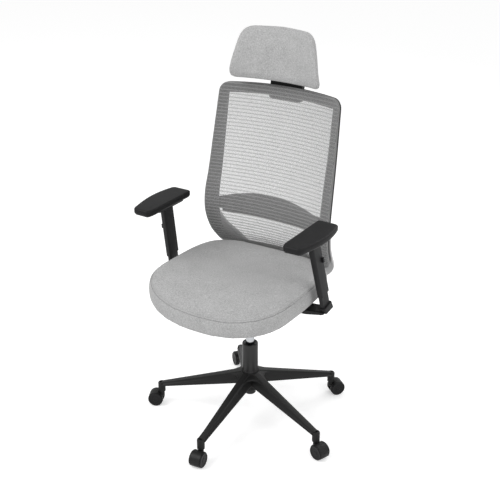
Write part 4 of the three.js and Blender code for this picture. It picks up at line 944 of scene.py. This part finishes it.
for i, (x, z, band) in enumerate(path):
    ax, az, _ = path[max(i - 1, 0)]
    bx, bz, _ = path[min(i + 1, len(path) - 1)]
    length = math.hypot(bx - ax, bz - az)
    in_x, in_z = -band * (bz - az) / length, band * (bx - ax) / length
    yoke_rings.append([back_point(x + in_x * s, z + in_z * s, d) for s, d in yoke_section])
yoke = lofted("grey_yoke", yoke_rings, "back", nylon_grey, "grey_nylon", "back_yoke")
print("yoke faces:", len(yoke.data.polygons))

# %% [markdown]
# ## Seat cushion
# A moulded foam block, rounded in plan and rolled down at the front, under a sewn cover. It
# starts as a slightly small closed form, is remeshed evenly, and Cloth with inner pressure
# swells it as foam fills a cover. Only the outward part of each move is kept, up to a cap, and
# the underside, which lies on the pan, is held still.

# %% The outline of the seat
SEAT_HALF, SEAT_FRONT, SEAT_REAR, SEAT_WIDEST = 248, -312, 160, -145
SEAM_HEIGHT, SEAT_BAND, WATERFALL = 557, 61, 41


def seat_drop(y):
    t = clamp((SEAT_WIDEST - y) / (SEAT_WIDEST - SEAT_FRONT), 0, 1.1)
    return WATERFALL * t * t


def seat_ring(inset, share, height, steps=120):
    ring = []
    for i in range(steps):
        turn = 2 * math.pi * i / steps
        c, s = math.cos(turn), math.sin(turn)
        power = 2 / (4.4 if s > 0 else 2.4)
        length = (SEAT_REAR - SEAT_WIDEST if s > 0 else SEAT_WIDEST - SEAT_FRONT) - inset
        x = (SEAT_HALF - inset) * math.copysign(abs(c) ** power, c) * share
        y = SEAT_WIDEST + length * math.copysign(abs(s) ** power, s) * share
        ring.append(spot(x, y, height - seat_drop(y)))
    return ring


# %% Foam: remesh, swell, smooth
FOAM_FRAMES = 20


def foam_body(name, rings, voxel_mm, pressure, cap_mm, held):
    """held(point) says which places rest on something and stay put."""
    start = loft(name, rings)
    remesh = start.modifiers.new("even_faces", "REMESH")
    settle(remesh, mode="VOXEL", voxel_size=voxel_mm * MM, use_smooth_shade=True)
    mesh = evaluated_mesh(start)
    piece = new_piece(name, mesh)
    rest = [v.co.copy() for v in mesh.vertices]
    pins = piece.vertex_groups.new(name="held")
    for v in mesh.vertices:
        if held(v.co):
            pins.add([v.index], 1.0, "ADD")
    cloth = piece.modifiers.new("foam", "CLOTH")
    foam = {"use_pressure": True, "uniform_pressure_force": pressure, "quality": 4}
    settle(cloth.settings, vertex_group_mass="held", **foam)
    cloth.settings.effector_weights.gravity = 0
    cloth.collision_settings.use_collision = False
    scene = bpy.context.scene
    for step in range(1, FOAM_FRAMES + 1):
        scene.frame_set(step)
    swollen = piece.evaluated_get(bpy.context.evaluated_depsgraph_get())
    moved = [v.co.copy() for v in swollen.data.vertices]
    piece.modifiers.remove(cloth)
    piece.vertex_groups.clear()
    scene.frame_set(1)
    outwards = [v.normal.copy() for v in mesh.vertices]
    most = 0
    for v, old, new, normal in zip(mesh.vertices, rest, moved, outwards):
        swell = clamp((new - old).dot(normal), 0, cap_mm * MM)
        most = max(most, swell)
        v.co = old + normal * swell
    print(name, "swelled by up to", round(most / MM, 1), "mm")
    settle(piece.modifiers.new("finer", "SUBSURF"), levels=1, render_levels=1)
    done = evaluated_mesh(piece)
    done.shade_smooth()
    return new_piece(name, done)


low, high = SEAM_HEIGHT - SEAT_BAND, SEAM_HEIGHT
# Each row: inset, share of the outline, height.
SEAT_ROWS = [
    (6, 0.5, low + 0.6), (6, 0.9, low + 0.6), (9, 1, low + 0.8), (5, 1, low + 4),
    (2, 1, low + 12), (0.5, 1, low + 28), (1, 1, low + 42), (4.5, 1, high - 5.5),
    (10, 1, high - 2.5), (20, 1, high - 1), (20, 0.9, high + 0.8), (20, 0.75, high + 2.4),
    (20, 0.5, high + 3.6), (20, 0.25, high + 4.2),
]


def on_the_pan(place):
    return place.z < spot(0, 0, low + 3).z - seat_drop((place.y - AXIS.y) / MM) * MM


seat_rings = [seat_ring(*row) for row in SEAT_ROWS]
cushion = foam_body("seat_cushion_cover", seat_rings, 6, 4.0, 3.6, on_the_pan)
print("cushion faces:", len(cushion.data.polygons))

# %% [markdown]
# ## Seam and stitches
# The top panel and the side band are sewn together along the upper edge, with a thin piping in
# the seam. The seam pulls the cover in, which makes a shallow groove, and a row of stitches
# above it holds the seam allowance flat: short threads, one every 4 mm, set along the line by
# a Geometry Nodes tree. The grooves are pressed into the finished mesh.


# %% Press a groove along a line, and lay stitches beside it
def surface_of(piece):
    mesh = piece.data
    mesh.calc_loop_triangles()
    return BVHTree.FromPolygons(
        [v.co for v in mesh.vertices], [t.vertices for t in mesh.loop_triangles]
    )


def line_on(tree, points):
    """The line laid on the surface: (place, outward normal) at each point."""
    return [tree.find_nearest(p)[:2] for p in points]


def laid_on(tree, points):
    return [place for place, normal in line_on(tree, points)]


def press_groove(piece, points, depth_mm, width_mm):
    near = KDTree(len(points))
    for i, p in enumerate(points):
        near.insert(p, i)
    near.balance()
    normals = [v.normal.copy() for v in piece.data.vertices]
    for v, normal in zip(piece.data.vertices, normals):
        distance = near.find(v.co)[2] / MM
        if distance < 3 * width_mm:
            v.co -= normal * depth_mm * MM * math.exp(-((distance / width_mm) ** 2))
    piece.data.update()


def resampled(points, pitch_mm):
    """Places at an even pitch along a closed line."""
    loop = points + [points[0]]
    lengths = [(b - a).length for a, b in zip(loop, loop[1:])]
    total = sum(lengths)
    count = round(total / (pitch_mm * MM))
    places, at, done = [], 0, 0.0
    for k in range(count):
        goal = total * k / count
        while done + lengths[at] < goal:
            done += lengths[at]
            at += 1
        places.append(loop[at].lerp(loop[at + 1], (goal - done) / lengths[at]))
    return places


STITCH_SIZES = {"Thread Radius": 0.00045, "Stitch Length": 0.003}
stitch_tree, given = new_tree("stitches_along_a_line", STITCH_SIZES)
thick = given.outputs["Thread Radius"]
ball = {"Segments": 6, "Rings": 5, "Radius": thick}
stitch = add(stitch_tree, "GeometryNodeMeshUVSphere", ball)
longer = maths(stitch_tree, "DIVIDE", given.outputs["Stitch Length"], thick)
half_longer = maths(stitch_tree, "MULTIPLY", longer, 0.5)
stretch = add(stitch_tree, "ShaderNodeCombineXYZ", {"X": 1.0, "Y": 1.0, "Z": half_longer})
thread = add(stitch_tree, "GeometryNodeTransform", {"Geometry": stitch, "Scale": stretch})


def set_along(tree, given, item):
    """Puts the item on each point, its Z turned to the way that the point carries."""
    way = {"Name": "along"}
    way = add(tree, "GeometryNodeInputNamedAttribute", way, data_type="FLOAT_VECTOR")
    turn = add(tree, "FunctionNodeAlignRotationToVector", {"Vector": way}, axis="Z")
    places = {"Points": given, "Instance": item, "Rotation": turn}
    close_tree(tree, add(tree, "GeometryNodeInstanceOnPoints", places), given)


set_along(stitch_tree, given, thread)


def point_cloud(name, places, ways):
    flat = [c for way in ways for c in way]
    return carrying(name, places, [], "along", "FLOAT_VECTOR", flat)


def sew(name, piece, line, body, lift_mm=0.15, pitch_mm=4.0):
    places = line_on(surface_of(piece), resampled(line, pitch_mm))
    spots = [p + n * lift_mm * MM for p, n in places]
    ways = [(spots[(i + 1) % len(spots)] - spots[i - 1]).normalized() for i in range(len(spots))]
    cloud = point_cloud(name, spots, ways)
    run_tree(name, cloud, stitch_tree, seam_thread, body, "seat_fabric", STITCH_SIZES)
    print(name, "has", len(spots), "stitches")


# %% The seat's grooves, its row of stitches and its piping
skin = surface_of(cushion)
seam_line = laid_on(skin, seat_ring(3, 1, high - 2, 480))
press_groove(cushion, seam_line, 2.8, 2.4)
stitch_groove = laid_on(skin, seat_ring(9, 1, high + 2, 480))
press_groove(cushion, stitch_groove, 0.5, 1.6)
foot_line = laid_on(skin, seat_ring(1, 1, low + 9, 480))
press_groove(cushion, foot_line, 0.7, 2.4)
finish_piece(cushion, "seat", melange, "seat_fabric", "seat_cushion")
sew("seat_seam_stitches", cushion, stitch_groove, "seat")
cord_places = laid_on(surface_of(cushion), resampled(seam_line, 3))
for _ in range(6):
    count = len(cord_places)
    cord_places = [
        (cord_places[i - 1] + cord_places[i] + cord_places[(i + 1) % count]) / 3
        for i in range(count)
    ]
cord = wire_mesh("seam_cord", [[cord_places + cord_places[:1]]])
cord_size = {"Yarn Radius": 0.0005}
run_tree("seat_seam_piping", cord, yarn_tree, piping, "seat", "seat_fabric", cord_size)

# %% [markdown]
# ## Headrest cushion
# The pillow is the same foam and cloth on a curved shell: small corners below, large ones
# above, hollow towards the head. It swells less than the seat, because its foam is thin.

# %% The pillow
HEAD_LOW, HEAD_HIGH, HEAD_FOOT_HALF, HEAD_TOP_HALF = 1110, 1271, 157, 130
HEAD_FRONT, HEAD_LEAN, HEAD_WRAP, HEAD_TURN, HEAD_BOW = 106, 0.104, 44, 14, 1


def head_point(x, z, depth):
    wide = (x / HEAD_FOOT_HALF) ** 2
    y = HEAD_FRONT + HEAD_LEAN * (z - HEAD_LOW) + HEAD_WRAP * (1 - wide)
    y += HEAD_TURN * wide * max(1 - (z - HEAD_LOW) / 60, 0) ** 2
    return spot(x, y + depth, z - depth * HEAD_LEAN)


def drawn(places, *curves):
    """Carries a line on by curves, each given as (steps, handles and end)."""
    for steps, *ends in curves:
        start = places[-1]
        for k in range(1, steps + 1):
            row = [start, *ends]
            while len(row) > 1:
                pairs = zip(row, row[1:])
                row = [tuple(mix(a, b, k / steps) for a, b in zip(*pair)) for pair in pairs]
            places = places + row
    return places


def head_outline(inset):
    foot, top = HEAD_FOOT_HALF - inset, HEAD_TOP_HALF - inset
    low, high = HEAD_LOW + inset, HEAD_HIGH - inset
    waist = (foot + top) / 2 - 7
    half = [((foot - 18) * k / 10, low - HEAD_BOW * (1 - (k / 10) ** 2)) for k in range(11)]
    half = drawn(
        half,
        (8, (foot + 1, low), (foot - 1, low + 20)),
        (10, (waist + 10, mix(low, high, 0.45)), (top + 4, high - 42)),
        (10, (top - 4, high - 12), (top - 18, high), (top - 46, high)),
    )
    half += [((top - 46) * k / 8, high + 2 - 2 * k / 8) for k in range(7, -1, -1)]
    return half + [(-x, z) for x, z in reversed(half[1:-1])]


def head_ring(inset, share, depth):
    centre = (HEAD_LOW + HEAD_HIGH) / 2
    return [head_point(x * share, mix(centre, z, share), depth) for x, z in head_outline(inset)]


# Each row: inset, share of the outline, depth behind the pillow's face.
PILLOW_ROWS = [
    (16, 0.3, 2.2), (16, 0.6, 2.4), (16, 0.85, 2.8), (14, 1, 3), (6, 1, 4.6), (2, 1, 7.4),
    (0.6, 1, 12), (0.6, 1, 19), (2, 1, 24), (6, 1, 27.2), (12, 1, 27.6), (12, 0.7, 27.6),
    (12, 0.35, 27.6),
]


def on_the_shell(place):
    return place.y > head_point((place.x - AXIS.x) / MM, place.z / MM, 24.5).y


pillow_rings = [head_ring(*row) for row in PILLOW_ROWS]
pillow = foam_body("headrest_pillow_cover", pillow_rings, 5, 3.0, 2.6, on_the_shell)
skin = surface_of(pillow)
rear_seam = resampled(laid_on(skin, head_ring(0.6, 1, 22)), 1.5)
press_groove(pillow, rear_seam, 1.2, 2.2)
finish_piece(pillow, "head_pillow", melange, "seat_fabric", "headrest_cushion")
stitch_line = laid_on(skin, resampled(head_ring(0.4, 1, 18.5), 2.0))
sew("headrest_seam_stitches", pillow, stitch_line, "head_pillow")
print("pillow faces:", len(pillow.data.polygons))

# %% [markdown]
# ## Arm pads
# The pads are polyurethane foam with its own tough skin. The inner side is straight, the outer
# side swells, and a narrow chamfer runs round the top, which is very slightly crowned.

# %% Two pads
PAD_INNER, PAD_OUTER, PAD_FRONT, PAD_REAR, PAD_TOP, PAD_THICK = 229.5, 315, -208, 13, 758, 23


def pad_outline():
    bulge, front, rear = PAD_OUTER - PAD_INNER, PAD_FRONT, PAD_REAR
    closed = drawn(
        [(0, front + 36)],
        (8, (0, front + 4), (12, front)),
        (4, (bulge - 32, front + 1)),
        (8, (bulge - 20, front + 2), (bulge - 16, front + 30)),
        (26, (bulge - 1, front + 92), (bulge + 3, rear - 78), (bulge - 13, rear - 14)),
        (8, (bulge - 16, rear), (bulge - 30, rear)),
        (4, (12, rear)),
        (6, (0, rear), (0, rear - 12)),
        (16, (0, front + 36)),
    )
    return closed[:-1]


# Each row: inset, height from the pad's top.
PAD_ROWS = [
    (10, -PAD_THICK), (7, -PAD_THICK), (5, -PAD_THICK + 1), (1.6, -PAD_THICK + 5.2),
    (0.5, -PAD_THICK + 7.4), (0, -PAD_THICK + 9), (0, -4.6), (0.2, -3.8), (0.8, -2.8),
    (2.6, -1), (3.4, -0.5), (4.6, -0.3), (8, -0.2),
]


def arm_pad(hand, side):
    outline = pad_outline()
    rings = [[(u, y, h) for u, y in drawn_in(outline, inset)] for inset, h in PAD_ROWS]
    flat_u, flat_y = (PAD_OUTER - PAD_INNER) / 2 - 4, (PAD_FRONT + PAD_REAR) / 2
    edge = rings[-1]
    for share in (0.8, 0.55, 0.3):
        rings.append([(mix(flat_u, u, share), mix(flat_y, y, share), 0) for u, y, _ in edge])
    rings = [[spot(side * (PAD_INNER + u), y, PAD_TOP + h) for u, y, h in ring] for ring in rings]
    look = foam_skin, "soft_black", f"arm_pad_{hand}"
    pad = lofted(f"arm_pad_{hand}_skin", rings, f"arm_{hand}", *look, below=math.radians(50))
    return pad


pads = [arm_pad("left", 1), arm_pad("right", -1)]
print("pad top in mm:", [round(max(v.co.z for v in pad.data.vertices) / MM, 1) for pad in pads])

# %% [markdown]
# ## The yoke's flat
# In the middle of the U a raised flat takes the bar's four screws. Its rim is rounded.

# %% The flat
FLAT_WIDE, FLAT_HIGH, FLAT_NEAR, FLAT_FAR = 110, 36, 177, 199
flat_middle = YOKE_BOTTOM + YOKE_BAND / 2


def rounded_rectangle(width, height, radius, steps=5):
    corners = []
    for k, (sx, sz) in enumerate(((1, -1), (1, 1), (-1, 1), (-1, -1))):
        x, z = sx * (width / 2 - radius), sz * (height / 2 - radius)
        for i in range(steps + 1):
            turn = math.pi / 2 * (k - 1 + i / steps)
            corners.append((x + radius * math.cos(turn), z + radius * math.sin(turn)))
    return corners


flat_rings = []
for inset, y in (
    (3, FLAT_NEAR), (0.9, FLAT_NEAR), (0, FLAT_NEAR + 0.9), (0, FLAT_FAR - 1.6),
    (0.5, FLAT_FAR - 0.5), (1.6, FLAT_FAR), (4, FLAT_FAR),
):
    outline = rounded_rectangle(FLAT_WIDE - 2 * inset, FLAT_HIGH - 2 * inset, 5 - inset / 2)
    flat_rings.append([spot(x, y, flat_middle + z) for x, z in outline])
lofted("yoke_flat", flat_rings, "back", nylon_grey, "grey_nylon")

# %% [markdown]
# ## Screws
# Button-head screws hold the chair together: two through each arm bracket into the pan, four
# through the yoke into the bar, and two in the bracket of the headrest. One tree makes the
# head, a low dome with a hexagonal socket, and sets it on every place that it is given.

# %% A screw-head tree
SCREW_SIZES = {"Head Radius": 0.006, "Head Height": 0.0032}
screw_tree, given = new_tree("screw_heads", SCREW_SIZES)
radius, tall = (given.outputs[label] for label in SCREW_SIZES)
top = maths(screw_tree, "MULTIPLY", radius, 0.82)
dome = {"Vertices": 24, "Radius Top": top, "Radius Bottom": radius, "Depth": tall}
dome = add(screw_tree, "GeometryNodeMeshCone", dome)
key = {"Vertices": 6, "Radius": maths(screw_tree, "MULTIPLY", radius, 0.45), "Depth": tall}
key = add(screw_tree, "GeometryNodeMeshCylinder", key)
lift = add(screw_tree, "ShaderNodeCombineXYZ", {"Z": maths(screw_tree, "MULTIPLY", tall, 0.4)})
key = add(screw_tree, "GeometryNodeTransform", {"Geometry": key, "Translation": lift})
drilled = {"Mesh 1": dome, "Mesh 2": key}
cutting = {"operation": "DIFFERENCE", "solver": "EXACT"}
set_along(screw_tree, given, add(screw_tree, "GeometryNodeMeshBoolean", drilled, **cutting))


def screws(name, body, places, way, head_mm, tall_mm):
    cloud = point_cloud(name, places, [Vector(way)] * len(places))
    sizes = {"Head Radius": head_mm * MM, "Head Height": tall_mm * MM}
    run_tree(name, cloud, screw_tree, black_screw, body, "black_steel", sizes, below=30)


# %% Set them
yoke_places = [spot(x, FLAT_FAR + 1.4, flat_middle + z) for x in (-38, 38) for z in (-8, 8)]
screws("yoke_screws", "back", yoke_places, (0, 1, 0), 6.0, 3.2)
MOUNT_REAR, MOUNT_MIDDLE = 38.3, 1080.5
outwards = back_point(0, MOUNT_MIDDLE, 10) - back_point(0, MOUNT_MIDDLE, 0)
mount_places = [back_point(x, MOUNT_MIDDLE, MOUNT_REAR + 1.2) for x in (-41, 41)]
screws("headrest_mount_screws", "back", mount_places, outwards, 5.2, 2.8)
for hand, side in (("left", 1), ("right", -1)):
    pan_places = [spot(side * 141, row * 13 - 23.4, 456.2) for row in (-1, 1)]
    screws(f"bracket_screws_{hand}", "seat", pan_places, (0, 0, -1), 7, 3.6)
print("screws set")
